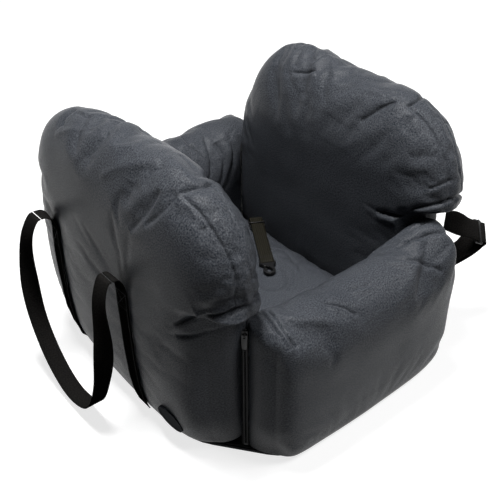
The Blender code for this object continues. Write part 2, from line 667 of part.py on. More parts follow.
def make_zip(side):
    """One corner zip: two tapes, two half chains, a bottom stop, a slider and its pull tab."""
    hand = "left" if side < 0 else "right"
    lie = zip_frame(side)
    front = -side
    split, wide = CHAIN_SPLIT / 2, CHAIN_SPLIT / 2 + TEETH_WIDTH
    tape_in = wide + CLEARANCE
    tape_out = tape_in + TAPE_WIDTH
    first = STOP_HEIGHT + CLEARANCE * 2
    chain_top = ZIP_RUN - SLIDER_LENGTH - SLIDER_RUN_GAP
    for way, owner in ((front, "front"), (-front, "wing")):
        low, high = sorted((way * tape_in, way * tape_out))
        tape = block(f"{hand}_zip_{owner}_tape", (-TAPE_THICKNESS / 2, low, 0),
                     (TAPE_THICKNESS / 2, high, ZIP_RUN), TAPE)
        place(tape, lie)
        count = int((chain_top - first) / TEETH_PITCH)
        outline = [(wide, first)]
        for tooth in range(count):
            start = first + tooth * TEETH_PITCH
            tip, root = split, wide - TEETH_CORE
            gap = TEETH_PITCH / 2
            outline += [(tip, start), (tip, start + gap), (root, start + gap), (root, start + TEETH_PITCH)]
        outline.append((wide, first + count * TEETH_PITCH))
        chain = flat(f"{hand}_zip_{owner}_teeth", [outline], TEETH_DEPTH, TEETH)
        if way < 0:
            chain.data.transform(Matrix.Diagonal((-1, 1, 1, 1)))
            chain.data.flip_normals()
        stand_up = Matrix(((0, 0, 1, 0), (1, 0, 0, 0), (0, 1, 0, 0), (0, 0, 0, 1)))
        place(chain, lie @ stand_up)
    stop = block(f"{hand}_zip_bottom_stop", (-TEETH_DEPTH / 2, -wide, 0),
                 (TEETH_DEPTH / 2, wide, STOP_HEIGHT), METAL)
    bevel(stop, STOP_HEIGHT * STOP_EDGE_SHARE, 1)
    place(stop, lie)

    low_z = ZIP_RUN - SLIDER_LENGTH
    inner = TEETH_DEPTH / 2 + CLEARANCE
    outer = inner + SLIDER_PLATE
    half, web = SLIDER_WIDTH / 2, SLIDER_WEB / 2
    section = [(-outer, -half), (-inner, -half), (-inner, -web), (inner, -web), (inner, -half),
               (outer, -half), (outer, half), (inner, half), (inner, web), (-inner, web),
               (-inner, half), (-outer, half)]
    slider = flat(f"{hand}_zip_slider", [section], SLIDER_LENGTH, METAL)
    slider.location.z = low_z + SLIDER_LENGTH / 2
    pin_x = outer + BAIL_RADIUS - CLEARANCE * 3
    pin_z = low_z + SLIDER_LENGTH * BAIL_PLACE_SHARE
    cheek = arc((pin_x, 0), BAIL_RADIUS, -90, 90, 9)
    cheek += [(inner + SLIDER_PLATE / 2, BAIL_RADIUS), (inner + SLIDER_PLATE / 2, -BAIL_RADIUS)]
    hole = arc((pin_x, 0), BAIL_BORE, 0, 330, 12)
    bail = flat(f"{hand}_bail", [cheek, hole], BAIL_THICKNESS, None, cutters)
    turn = Matrix(((1, 0, 0, 0), (0, 0, -1, 0), (0, 1, 0, pin_z), (0, 0, 0, 1)))
    bail.matrix_world = turn
    combine(slider, bail, "UNION")
    place(apply_all(slider), lie)
    place(bail, lie)

    half_pull = PULL_WIDTH / 2
    bar = PULL_BAR / 2
    window = BAIL_THICKNESS / 2 + CLEARANCE * 2
    taper, tip = -PULL_LENGTH * PULL_TAPER_SHARE, half_pull * PULL_TIP_SHARE
    tab = rounded([(-half_pull, bar), (half_pull, bar), (half_pull, taper), (tip, -PULL_LENGTH),
                   (-tip, -PULL_LENGTH), (-half_pull, taper)], bar, 3)
    slot = [(-window, -bar), (window, -bar), (window, -bar - PULL_WINDOW), (-window, -bar - PULL_WINDOW)]
    pull = flat(f"{hand}_zip_pull", [tab, slot], PULL_THICKNESS, METAL)
    hang = Matrix(((0, 0, 1, pin_x), (1, 0, 0, 0), (0, 1, 0, pin_z), (0, 0, 0, 1)))
    place(pull, lie @ hang)


def surface_run(tree, side, y, heights):
    """Points down a wing's outer face at one depth, just off it, and the level direction along it."""
    route, across = [], []
    for height in heights:
        start = Vector((side * (half_width + OVERRUN), y, height))
        spot, normal, _, _ = tree.ray_cast(start, Vector((-side, 0, 0)))
        route.append(tuple(spot + normal * (skin + CLEARANCE * 5)))
        level = Vector((0, 1, 0))
        across.append((level - normal * normal.y).normalized())
    return route, across


def make_handle(side, wing):
    """A carry handle: two strips sewn down the wing and the free loop that joins their tops."""
    hand = "left" if side < 0 else "right"
    tree = tree_of(wing)
    level = (0, 1, 0)
    low = stand + 3 * WELT_RADIUS
    runs = {}
    for label, y in (("back", HANDLE_BACK_Y), ("front", HANDLE_FRONT_Y)):
        heights = low + (HANDLE_TOP - low) * np.linspace(1, 0, STRIP_STATIONS) ** STRIP_CROWDING
        runs[label] = surface_run(tree, side, y, heights)
    out = Vector((side * HANDLE_STAND_OFF, 0, 0))
    thick = Vector((side, 0, 0))
    flat_side = Vector(level)
    crown_x = side * max(abs(run[0][0][0]) for run in runs.values()) + out.x * CROWN_OUT_SHARE
    pivots = {}
    for label, (route, across) in runs.items():
        top = Vector(route[0])
        reach = crown_x - top.x
        rise = [top + Vector((reach * on, 0, HANDLE_CROWN * up)) for on, up in CROWN_SHARES]
        pivots[label] = rise[-1] + thick * (WEBBING_THICKNESS + CLEARANCE)
        route = rise[::-1] + route
        across = [level] * 2 + [across[0]] * (len(rise) - 2) + across
        ribbon(f"{hand}_handle_{label}_strip", route, across, HANDLE_WEBBING,
               WEBBING_THICKNESS, WEBBING, steps=1, noses=[0])
    back, front = pivots["back"], pivots["front"]
    span = back.y - front.y
    drop = back.z - HANDLE_FLOOR_GAP
    far_x = runs["back"][0][0][0]
    route = [back]
    for step_out, y_share, drop_share in LOOP_SHARES:
        route.append(Vector((far_x, front.y + span * y_share, back.z - drop * drop_share)) + out * step_out)
    route.append(front)
    across = [flat_side * (1 - share) + thick * share for share in LOOP_TURN_SHARES]
    ribbon(f"{hand}_handle_loop", route, across, HANDLE_WEBBING, WEBBING_THICKNESS, WEBBING,
           noses=[0, -1])


def glide(name, webbing, material, lie):
    """A three-bar buckle: a flat ring under the webbing and a raised middle bar over it.

    Its own X runs across the webbing, its Y along it and its Z out of the webbing's face.
    """
    half = webbing / 2 + CLEARANCE * 2
    outer = half + GLIDE_BAR
    reach = GLIDE_SLOT + GLIDE_BAR * GLIDE_END_SHARE
    ring = rounded([(-outer, -reach), (outer, -reach), (outer, reach), (-outer, reach)], GLIDE_BAR, 4)
    inside = reach - GLIDE_BAR
    hole = rounded([(-half, -inside), (half, -inside), (half, inside), (-half, inside)],
                   GLIDE_BAR * GLIDE_CORNER_SHARE, 2)
    top = -WEBBING_THICKNESS / 2 - CLEARANCE
    made = flat(name, [ring, hole], GLIDE_PLATE, material)
    made.data.transform(Matrix.Translation((0, 0, top - GLIDE_PLATE / 2)))
    radius = GLIDE_BAR / 2
    over = WEBBING_THICKNESS / 2 + CLEARANCE + radius
    foot = top - GLIDE_PLATE / 2
    rail = half + radius
    route = [(-rail, 0, foot), (-rail, 0, over - radius), (-rail + radius, 0, over),
             (rail - radius, 0, over), (rail, 0, over - radius), (rail, 0, foot)]
    bridge = rod(name + "_bridge", route, radius, None, collection=cutters)
    combine(made, bridge, "UNION")
    apply_all(made)
    place(bridge, lie)
    return place(made, lie)


def make_anchor(wing):
    """Adjustable anchor strap at the right front corner: strap, buckle and the loop below it."""
    tree = tree_of(wing)
    far = half_width + OVERRUN
    spot, normal, _, _ = tree.ray_cast(Vector((far, ANCHOR_Y, ANCHOR_Z)), Vector((-1, 0, 0)))
    start = spot + normal * (skin + CLEARANCE * 3)
    low = Vector((far, ANCHOR_Y + ANCHOR_BACK, ANCHOR_Z - ANCHOR_LOOP_DROP))
    low_spot, low_normal, _, _ = tree.ray_cast(low, Vector((-1, 0, 0)))
    buckle = start + Vector((ANCHOR_REACH, -ANCHOR_FORWARD, -ANCHOR_DROP))
    run = (buckle - start).normalized()
    upright = Vector((0, 0, 1))
    tilt = Vector(ANCHOR_TILT)
    tilt = (tilt - run * tilt.dot(run)).normalized()
    tail = buckle + run * (GLIDE_BAR * GLIDE_TAIL_SHARE)
    rise = (upright - normal * normal.dot(upright)).normalized()
    root = start + normal * ANCHOR_APPROACH * ANCHOR_ROOT_SHARE
    middle = [root.lerp(buckle, share) for share in ANCHOR_RUN_SHARES]
    route = [start, root, *middle, buckle - run * GLIDE_SLOT, tail]
    across = [rise, rise, rise.lerp(tilt, ANCHOR_TURN_IN_SHARE), tilt, tilt, tilt]
    ribbon("anchor_strap", route, across, ANCHOR_WEBBING, WEBBING_THICKNESS, WEBBING, steps=4)
    face = run.cross(tilt).normalized()
    lie = frame_at(buckle, tilt, face.cross(tilt).normalized(), face)
    glide("anchor_buckle", ANCHOR_WEBBING, METAL, lie)
    bar_y = GLIDE_SLOT + GLIDE_BAR
    bar = buckle + run * bar_y - face * (WEBBING_THICKNESS / 2 + CLEARANCE + GLIDE_PLATE / 2)
    wrap = math.hypot(GLIDE_BAR / 2, GLIDE_PLATE / 2) + skin + CLEARANCE * 2
    ring = []
    for degrees in range(90, 271, 20):
        turn = math.radians(degrees)
        ring.append(bar + run * math.cos(turn) * wrap + face * math.sin(turn) * wrap)
    foot = low_spot + low_normal * (skin + WEBBING_THICKNESS)
    reach = foot - bar
    scale = reach.length
    strands = {}
    for label, shares, end in (("outer", ANCHOR_OUTER_SHARES, foot - upright * WEBBING_THICKNESS * 4),
                               ("inner", ANCHOR_INNER_SHARES, foot)):
        strand = [bar + (run * on + face * off + tilt * down) * scale for on, off, down in shares]
        strands[label] = strand + [end + low_normal * ANCHOR_APPROACH, end]
    route = strands["outer"][::-1] + ring + strands["inner"]
    along_wing = upright.cross(low_normal).normalized()
    turn_in = [tilt.lerp(along_wing, share) for share in ANCHOR_TURN_SHARES]
    across = turn_in[::-1] + [tilt] * len(ring) + turn_in
    ribbon("anchor_loop", route, across, ANCHOR_WEBBING - CLEARANCE * 4, WEBBING_THICKNESS, WEBBING,
           steps=2)


def make_tether(cushion):
    """Safety tether: webbing lying over the cushion, its buckle, and a snap hook with a sprung gate."""
    turn = math.radians(TETHER_TURN)
    along = Vector((-math.sin(turn), -math.cos(turn), 0))
    wide = Vector((math.cos(turn), -math.sin(turn), 0))
    upright = Vector((0, 0, 1))
    thick = WEBBING_THICKNESS
    bar_clear = math.hypot(HOOK_BAR, HOOK_BAR) / 2 + CLEARANCE
    wrap = bar_clear + thick / 2
    base = CUSHION_TOP + wrap + thick / 2 + CLEARANCE * 2
    start = Vector((TETHER_START_X, TETHER_START_Y, base))
    hook_bar = start + along * TETHER_LENGTH
    lie = frame_at(hook_bar, -wide, along, upright)

    tree = tree_of(cushion)
    first = start - along * (FOLD_BACK * SEWN_SHARE)
    route = []
    for share in TETHER_SEWN_SHARES:
        point = first.lerp(start, share)
        tops = []
        for edge in (-0.5, 0, 0.5):
            probe = point + wide * TETHER_WEBBING * edge
            tops.append(tree.ray_cast(Vector((probe.x, probe.y, SEAT_WIDTH)), Vector((0, 0, -1)))[0].z)
        point.z = max(tops) + thick / 2 + CLEARANCE * 4
        route.append(point)
    route.append(start + upright * wrap)
    for share in TETHER_RUN_SHARES:
        route.append(start + along * TETHER_LENGTH * share + upright * wrap)
    for degrees in (90, 45, 0, -45, -90):
        bend = math.radians(degrees)
        route.append(hook_bar + along * math.cos(bend) * wrap + upright * math.sin(bend) * wrap)
    tuck = wrap - thick - CLEARANCE * 2
    for back, up in FOLD_SHARES:
        route.append(hook_bar - along * FOLD_BACK * back + upright * tuck * up)
    ribbon("tether_strap", route, [wide] * len(route), TETHER_WEBBING, thick, TETHER, steps=2)

    buckle = start + along * (TETHER_LENGTH * TETHER_BUCKLE_SHARE) + upright * wrap
    glide("tether_buckle", TETHER_WEBBING, METAL, frame_at(buckle, wide, upright.cross(wide), upright))

    half = TETHER_WEBBING / 2 + CLEARANCE * 2
    outer = half + HOOK_ARM
    bar = HOOK_BAR / 2
    ring_at = (0, HOOK_RING_DROP - HOOK_RING_RADIUS)
    neck = GATE_PIVOT_SIDE + GATE_BOSS_RADIUS
    outer_arc = arc(ring_at, HOOK_RING_RADIUS, 0, 180, 17)
    inner_arc = arc(ring_at, HOOK_EYE_RADIUS, 180, 0, 13)
    shoulder = bar + HOOK_SLOT + HOOK_ARM / 2
    outline = [(-outer, -bar), (outer, -bar), (outer, shoulder), (neck, GATE_PIVOT_DROP - GATE_BOSS_RADIUS),
               (neck, GATE_PIVOT_DROP + GATE_BOSS_RADIUS),
               (-HOOK_EYE_RADIUS * HOOK_SHANK_SHARE, HOOK_SHANK)]
    outline += inner_arc
    nose = ring_at[1] - GATE_WIDTH
    outline += [(HOOK_EYE_RADIUS, nose), (HOOK_RING_RADIUS * HOOK_NOSE_SHARE, nose)]
    outline += outer_arc
    outline += [(-neck, GATE_PIVOT_DROP), (-outer, shoulder)]
    inset = neck * HOOK_NECK_SHARE
    eye = [(-half, bar), (half, bar), (half, HOOK_SLOT), (inset, bar + HOOK_SLOT),
           (-inset, bar + HOOK_SLOT), (-half, HOOK_SLOT)]
    hook = flat("hook_body", [outline, eye], HOOK_THICKNESS, METAL)
    slot_half = GATE_THICKNESS + SPRING_WIRE + CLEARANCE
    slot = block("gate_slot", (GATE_PIVOT_SIDE - GATE_BOSS_RADIUS - GATE_ROOM,
                               GATE_PIVOT_DROP - GATE_BOSS_RADIUS - CLEARANCE * 3, -slot_half),
                 (OVERRUN, nose - CLEARANCE, slot_half), None, cutters)
    drill = disc("pin_drill", GATE_PIN_RADIUS + CLEARANCE, -OVERRUN, OVERRUN, None, 16, cutters)
    drill.location = (GATE_PIVOT_SIDE, GATE_PIVOT_DROP, 0)
    slims = []
    for way in (-1, 1):
        low, high = sorted((way * bar, way * OVERRUN))
        slims.append(block(f"hook_slim_{'low' if way < 0 else 'high'}", (-OVERRUN, -OVERRUN, low),
                           (OVERRUN, HOOK_SLOT, high), None, cutters))
        combine(hook, slims[-1], "DIFFERENCE")
    combine(hook, slot, "DIFFERENCE")
    combine(hook, drill, "DIFFERENCE")
    apply_all(hook)

    tip = (HOOK_EYE_RADIUS - GATE_WIDTH / 2 - CLEARANCE * 2, ring_at[1])
    pivot = (GATE_PIVOT_SIDE, GATE_PIVOT_DROP)
    lever = [(tip[0] + GATE_WIDTH / 2, nose - CLEARANCE * 2), (tip[0] + GATE_WIDTH / 2, tip[1]),
             (tip[0] - GATE_WIDTH / 2, tip[1])]
    lever += arc(pivot, GATE_BOSS_RADIUS, 180, 360, 13)
    hole = arc(pivot, GATE_PIN_RADIUS + CLEARANCE, 0, 330, 12)
    gate = flat("hook_gate", [lever, hole], GATE_THICKNESS, METAL)
    gate.data.transform(Matrix.Translation((0, 0, -SPRING_WIRE - CLEARANCE)))
    pin = disc("hook_pin", GATE_PIN_RADIUS, -HOOK_THICKNESS / 2, HOOK_THICKNESS / 2, BRIGHT, 16)
    pin.data.transform(Matrix.Translation((*pivot, 0)))
    coil_radius = GATE_PIN_RADIUS + CLEARANCE * 2 + SPRING_WIRE / 2
    base_z = GATE_THICKNESS / 2 - SPRING_WIRE / 2
    wire = []
    for step in range(int(SPRING_TURNS * SPRING_STEPS) + 1):
        angle = 2 * math.pi * step / SPRING_STEPS
        wire.append((pivot[0] + coil_radius * math.cos(angle), pivot[1] + coil_radius * math.sin(angle),
                     base_z + step / SPRING_STEPS * (SPRING_WIRE + CLEARANCE)))
    spring = rod("hook_spring", wire, SPRING_WIRE / 2, BRIGHT, sides=1)
    for piece in (hook, gate, pin, spring):
        place(piece, lie)
    for item in (slot, drill, *slims):
        place(item, lie)


wings = make_wings()
front_wall, back_wall = make_walls()
cushion = make_cushion(foam_top)
for side in (-1, 1):
    make_zip(side)
    make_handle(side, wings[side])
make_anchor(wings[1])
make_tether(cushion)
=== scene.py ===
# %% [markdown]
# # A padded car seat for a small dog
#
# The object is a soft box: two tall stuffed wings, a back wall and a front wall that unzips at both
# corners, all round a floor cushion. Cloth like this gets its look from three things: filling that
# pushes the cloth out, seams that hold it back, and folds where it has more length than it needs.
# The lesson mixes the finishes first and then builds those three in that order. Straps, zips and
# metal follow, then light and camera.
#
# Lengths are metres and +Z is up. The front faces -Y, the wings stand at -X and +X.

# %% Load the solid model as the frame
import math

import bmesh
import bpy
import numpy as np
from mathutils import Matrix, Vector
from mathutils.bvhtree import BVHTree


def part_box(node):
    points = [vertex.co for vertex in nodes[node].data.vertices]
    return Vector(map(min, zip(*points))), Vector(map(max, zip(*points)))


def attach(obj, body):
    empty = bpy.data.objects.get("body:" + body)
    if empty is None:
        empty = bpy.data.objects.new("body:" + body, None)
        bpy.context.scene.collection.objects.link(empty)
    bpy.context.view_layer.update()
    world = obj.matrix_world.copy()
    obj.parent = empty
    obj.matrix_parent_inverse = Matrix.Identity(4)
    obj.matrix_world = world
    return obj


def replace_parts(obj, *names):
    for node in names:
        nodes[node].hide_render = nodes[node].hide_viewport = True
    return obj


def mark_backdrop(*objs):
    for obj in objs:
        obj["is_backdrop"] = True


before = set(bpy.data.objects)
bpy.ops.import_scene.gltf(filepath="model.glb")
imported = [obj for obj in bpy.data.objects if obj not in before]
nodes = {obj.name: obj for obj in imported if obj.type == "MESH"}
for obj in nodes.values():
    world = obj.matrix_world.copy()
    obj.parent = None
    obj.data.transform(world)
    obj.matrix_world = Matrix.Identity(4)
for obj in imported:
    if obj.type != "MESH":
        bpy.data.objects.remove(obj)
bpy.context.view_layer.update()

scene = bpy.context.scene

# %% [markdown]
# ## Small tools
#
# A surface here is an array of points. These helpers move points between arrays and meshes, so that
# a fold or a seam can be written as one formula over all the points at once.

# %% Points in and out of meshes
def points_of(mesh):
    """All vertex positions as an array of rows."""
    flat = np.empty(len(mesh.vertices) * 3, np.float32)
    mesh.vertices.foreach_get("co", flat)
    return flat.reshape(-1, 3).astype(float)


def normals_of(mesh):
    """All vertex normals as an array of rows."""
    flat = np.empty(len(mesh.vertices) * 3, np.float32)
    mesh.vertex_normals.foreach_get("vector", flat)
    return flat.reshape(-1, 3).astype(float)


def put_points(mesh, points):
    """Write an array of rows back as vertex positions."""
    mesh.vertices.foreach_set("co", np.asarray(points, np.float32).ravel())
    mesh.update()


def new_piece(name, mesh, material=None):
    """An object for a mesh, smooth shaded, in the scene."""
    piece = bpy.data.objects.new(name, mesh)
    scene.collection.objects.link(piece)
    if material is not None:
        mesh.materials.clear()
        mesh.materials.append(material)
    mesh.shade_smooth()
    return piece


def settled(piece):
    """Give a piece the mesh that its modifiers make, and drop the modifiers."""
    bpy.context.view_layer.update()
    seen = piece.evaluated_get(bpy.context.evaluated_depsgraph_get())
    mesh = bpy.data.meshes.new_from_object(seen)
    piece.modifiers.clear()
    piece.data = mesh
    return mesh


def merged_copy(name):
    """The skin of a solid node as a mesh of its own, its loose triangles joined."""
    mesh = nodes[name].data.copy()
    build = bmesh.new()
    build.from_mesh(mesh)
    bmesh.ops.remove_doubles(build, verts=build.verts, dist=0.00001)
    build.to_mesh(mesh)
    build.free()
    return mesh


def tree_of(mesh):
    """A search tree over a mesh, to find the nearest surface or where a ray lands."""
    places = [v.co for v in mesh.vertices]
    return BVHTree.FromPolygons(places, [tuple(p.vertices) for p in mesh.polygons])


def gently(share):
    """A share from 0 to 1 that starts and ends gently."""
    return share * share * (3 - 2 * share)


def smooth_noise(points, size, seed):
    """Smooth random values from -1 to 1: a lattice of random numbers blended by a cubic."""
    side = 24
    table = np.random.default_rng(seed).uniform(-1, 1, (side, side, side))
    share = np.asarray(points, float) / size
    cell = np.floor(share).astype(int)
    part = gently(share - cell)
    total = np.zeros(len(share))
    for step in np.ndindex(2, 2, 2):
        x, y, z = ((cell + step) % side).T
        total += np.abs(1 - np.array(step) - part).prod(1) * table[x, y, z]
    return total


def lengths_along(path):
    """The length from a line's start to each of its points."""
    return np.concatenate([[0], np.cumsum(np.linalg.norm(np.diff(path, axis=0), axis=1))])


def smooth_path(points, steps, even=False):
    """Points on a Catmull-Rom curve through the given ones: few control points make a smooth line."""
    points = np.array([tuple(p) for p in points], float)
    ends = np.vstack([2 * points[0] - points[1], points, 2 * points[-1] - points[-2]])
    share = np.linspace(0, 1, steps, endpoint=False)[:, None]
    spans = []
    for a, b, c, d in zip(ends[:-3], ends[1:-2], ends[2:-1], ends[3:]):
        gaps = [np.linalg.norm(q - p) for p, q in ((a, b), (b, c), (c, d))]
        k0, k1, k2, k3 = np.cumsum([0] + [1 if even else max(gap, 1e-6) ** 0.5 for gap in gaps])
        k = k1 + (k2 - k1) * share
        first = (a * (k1 - k) + b * (k - k0)) / (k1 - k0)
        second = (b * (k2 - k) + c * (k - k1)) / (k2 - k1)
        third = (c * (k3 - k) + d * (k - k2)) / (k3 - k2)
        left = (first * (k2 - k) + second * (k - k0)) / (k2 - k0)
        right = (second * (k3 - k) + third * (k - k1)) / (k3 - k1)
        spans.append((left * (k2 - k) + right * (k - k1)) / (k2 - k1))
    return np.vstack(spans + [points[-1:]])


# %% [markdown]
# ## Cloth and metal finishes
#
# The shell is a woven polyester: a fine plain weave, dark blue-grey, with a weak satin shine. The
# weave is too fine to model, so a bump from two crossed sine waves on the cloth's own coordinates
# stands for its threads, and a fine noise for uneven yarn. The black webbing has no shine at all: at
# a slant it would mirror the pale floor and look grey.

# %% Material makers
def fresh_material(name):
    """An empty node material with a Principled shader, and its parts."""
    made = bpy.data.materials.new(name)
    made.use_nodes = True
    shader = made.node_tree.nodes["Principled BSDF"]
    return made, made.node_tree, shader


def math_node(tree, operation, first, second=None, third=None):
    """One arithmetic step, its inputs numbers or sockets."""
    step = tree.nodes.new("ShaderNodeMath")
    step.operation = operation
    for socket, value in zip(step.inputs, (first, second, third)):
        if value is None:
            continue
        if isinstance(value, (int, float)):
            socket.default_value = value
        else:
            tree.links.new(value, socket)
    return step.outputs[0]


def mixed_colour(tree, factor, low, high):
    """A colour between two, by a factor from 0 to 1."""
    ramp = tree.nodes.new("ShaderNodeValToRGB")
    ramp.color_ramp.elements[0].color = (*low, 1)
    ramp.color_ramp.elements[1].color = (*high, 1)
    tree.links.new(factor, ramp.inputs[0])
    return ramp.outputs[0]


def noise_node(tree, where, scale):
    """Plain noise at a scale, from 0 to 1."""
    noise = tree.nodes.new("ShaderNodeTexNoise")
    noise.inputs["Scale"].default_value = scale
    noise.inputs["Detail"].default_value = 3
    tree.links.new(where, noise.inputs["Vector"])
    return noise.outputs[0]


def bumped(tree, shader, height, strength, depth):
    """Raise a surface by a height from 0 to 1, depth metres at the most."""
    bump = tree.nodes.new("ShaderNodeBump")
    bump.inputs["Strength"].default_value = strength
    bump.inputs["Distance"].default_value = depth
    tree.links.new(height, bump.inputs["Height"])
    tree.links.new(bump.outputs[0], shader.inputs["Normal"])


yarn_scale, yarn_height, yarn_tone = 470, 2.8, 2.5
cloud_scale, cloud_tone, tone_shift = 11, 0.3, -0.92


def woven(name, low, high, pitch, roughness, depth, specular, rib=1.0, twill=0.0, stripe=0.0):
    """Woven cloth on the map named cloth, which holds metres: warp and weft as crossed sine waves.

    rib is how much wider the weft is than the warp, twill shifts each thread against its neighbour,
    and stripe tells the warp threads apart by their tone.
    """
    made, tree, shader = fresh_material(name)
    place = tree.nodes.new("ShaderNodeUVMap")
    place.uv_map = "cloth"
    split = tree.nodes.new("ShaderNodeSeparateXYZ")
    tree.links.new(place.outputs[0], split.inputs[0])
    turn = 2 * math.pi / pitch
    across = math_node(tree, "MULTIPLY", split.outputs[0], turn / rib)
    along = math_node(tree, "MULTIPLY", split.outputs[1], turn)
    along = math_node(tree, "MULTIPLY_ADD", across, twill, along)
    warp = math_node(tree, "SINE", across)
    weft = math_node(tree, "SINE", along)
    crossed = math_node(tree, "MULTIPLY", warp, weft)
    yarn = noise_node(tree, place.outputs[0], yarn_scale)
    thread = math_node(tree, "MULTIPLY_ADD", crossed, 0.5, 0.5)
    height = math_node(tree, "MULTIPLY_ADD", yarn, yarn_height, thread)
    spot = tree.nodes.new("ShaderNodeTexCoord")
    cloud = noise_node(tree, spot.outputs["Object"], cloud_scale)
    cloud = math_node(tree, "MULTIPLY_ADD", cloud, cloud_tone, tone_shift)
    grain = math_node(tree, "MULTIPLY_ADD", yarn, yarn_tone, cloud)
    grain = math_node(tree, "MULTIPLY_ADD", warp, stripe, grain)
    tree.links.new(mixed_colour(tree, grain, low, high), shader.inputs["Base Color"])
    bumped(tree, shader, height, 0.6, depth)
    shader.inputs["Roughness"].default_value = roughness
    shader.inputs["Specular IOR Level"].default_value = specular
    return made


def plain(name, low, high, roughness, scale, depth=0.00005, metallic=0.0, specular=0.15):
    """A moulded, coated or metal finish: two close colours and a fine noise in Object coordinates."""
    made, tree, shader = fresh_material(name)
    spot = tree.nodes.new("ShaderNodeTexCoord")
    noise = noise_node(tree, spot.outputs["Object"], scale)
    tree.links.new(mixed_colour(tree, noise, low, high), shader.inputs["Base Color"])
    spread = 0.1
    level = math_node(tree, "MULTIPLY_ADD", noise, spread, roughness - spread / 2)
    tree.links.new(level, shader.inputs["Roughness"])
    bumped(tree, shader, noise, 0.4, depth)
    shader.inputs["Metallic"].default_value = metallic
    shader.inputs["Specular IOR Level"].default_value = specular
    return made


shell_cloth = woven("shell_weave", (0.010, 0.013, 0.018), (0.080, 0.084, 0.093),
                    0.0011, 0.32, 0.00014, 0.065)
black_webbing = woven("black_webbing_weave", (0.005, 0.005, 0.005), (0.018, 0.017, 0.016),
                      0.0018, 0.62, 0.00030, 0.0, twill=0.5)
ribbed_webbing = woven("ribbed_webbing_weave", (0.002, 0.002, 0.001), (0.018, 0.016, 0.011),
                       0.0017, 0.60, 0.00040, 0.08, rib=2.2, stripe=0.45)
base_cloth = plain("coated_base_cloth", (0.012, 0.012, 0.014), (0.030, 0.031, 0.035), 0.62, 700, 0.0001)
tape_cloth = plain("zip_tape_knit", (0.002, 0.002, 0.002), (0.007, 0.007, 0.008), 0.72, 900, 0.0001,
                   specular=0.05)
coil_nylon = plain("zip_coil_nylon", (0.003, 0.003, 0.003), (0.010, 0.010, 0.011), 0.40, 300, specular=0.10)
black_metal = plain("blackened_metal", (0.004, 0.004, 0.004), (0.012, 0.012, 0.013), 0.36, 240, specular=0.2)
steel = plain("plain_steel", (0.50, 0.49, 0.47), (0.68, 0.67, 0.64), 0.28, 200, metallic=1.0)
patch_rubber = plain("moulded_rubber", (0.010, 0.011, 0.013), (0.024, 0.026, 0.030), 0.65, 600, 0.00008,
                     specular=0.01)
foam_block = plain("open_foam", (0.48, 0.47, 0.43), (0.60, 0.59, 0.55), 0.92, 500, 0.0006)
grey_board = plain("grey_board", (0.25, 0.25, 0.26), (0.34, 0.34, 0.35), 0.60, 150)
thread = plain("sewing_thread", (0.010, 0.010, 0.011), (0.024, 0.024, 0.026), 0.6, 900)
print("finishes", len(bpy.data.materials))

# %% [markdown]
# ## Stuffed forms
#
# On the real seat each wall is a cloth bag over a block of fibre filling. It could be carved by
# hand, but a cage is quicker: draw the outline, give it the width of the gusset, inset it and raise
# it on both sides, then let subdivision round it. The cage is cut again into even cells, because
# a cloth simulation wants cells of one size.

# %% Cage to even cells
def stuffed_form(name, outline, lows, highs, turn, cell, band=0.36, ring=0.30, rings=1):
    """A pillow in the box from lows to highs: an outline drawn out by a band and raised on both sides.

    turn carries the outline's own axes (along, up, thick) into the seat's. band, ring and rings say
    how wide the gusset is, how far in the first raised ring lies, and how many rings there are.
    """
    span = [high - low for low, high in zip(lows, highs)]
    half = span[2] * band / 2
    build = bmesh.new()
    rim = [build.verts.new((lows[0] + a * span[0], lows[1] + b * span[1], -half)) for a, b in outline]
    face = build.faces.new(rim)
    moved = bmesh.ops.extrude_face_region(build, geom=[face])
    top = [item for item in moved["geom"] if isinstance(item, bmesh.types.BMFace)]
    raised = [item for item in moved["geom"] if isinstance(item, bmesh.types.BMVert)]
    bmesh.ops.translate(build, verts=raised, vec=(0, 0, 2 * half))
    bmesh.ops.recalc_face_normals(build, faces=build.faces)
    rise = span[2] / 2 - half
    reach = min(span[0], span[1]) / 2
    for side in (face, top[0]):
        bmesh.ops.inset_region(build, faces=[side], thickness=reach * ring, depth=rise * 0.72)
        if rings > 1:
            bmesh.ops.inset_region(build, faces=[side], thickness=reach * 0.34, depth=rise * 0.28)
    mesh = bpy.data.meshes.new(name)
    build.to_mesh(mesh)
    build.free()
    piece = new_piece(name, mesh)
    rounding = piece.modifiers.new("rounding", "SUBSURF")
    rounding.levels = 3
    settled(piece)
    points = points_of(piece.data)
    least, most = points.min(0), points.max(0)
    low = np.array((lows[0], lows[1], -span[2] / 2))
    high = np.array((highs[0], highs[1], span[2] / 2))
    points = low + (points - least) / (most - least) * (high - low)
    points[:, 2] += (lows[2] + highs[2]) / 2
    put_points(piece.data, points @ np.array(turn, float))
    even = piece.modifiers.new("even cells", "REMESH")
    even.mode = "VOXEL"
    even.voxel_size = cell
    even.use_smooth_shade = True
    settled(piece)
    outward(piece.data)
    print(name, "cells", len(piece.data.polygons))
    return piece


def outward(mesh):
    """Turn every face of a closed skin outwards."""
    build = bmesh.new()
    build.from_mesh(mesh)
    bmesh.ops.recalc_face_normals(build, faces=build.faces)
    build.to_mesh(mesh)
    build.free()


# %% [markdown]
# ## Blowing the cloth up
#
# Filling presses outwards everywhere, so a cloth simulation with an inner pressure gives the soft
# swell between seams. The cloth is cut a few hundredths larger than the form, as a sewer does, and
# that spare length gathers into wrinkles beside the seams, which stay where they are.

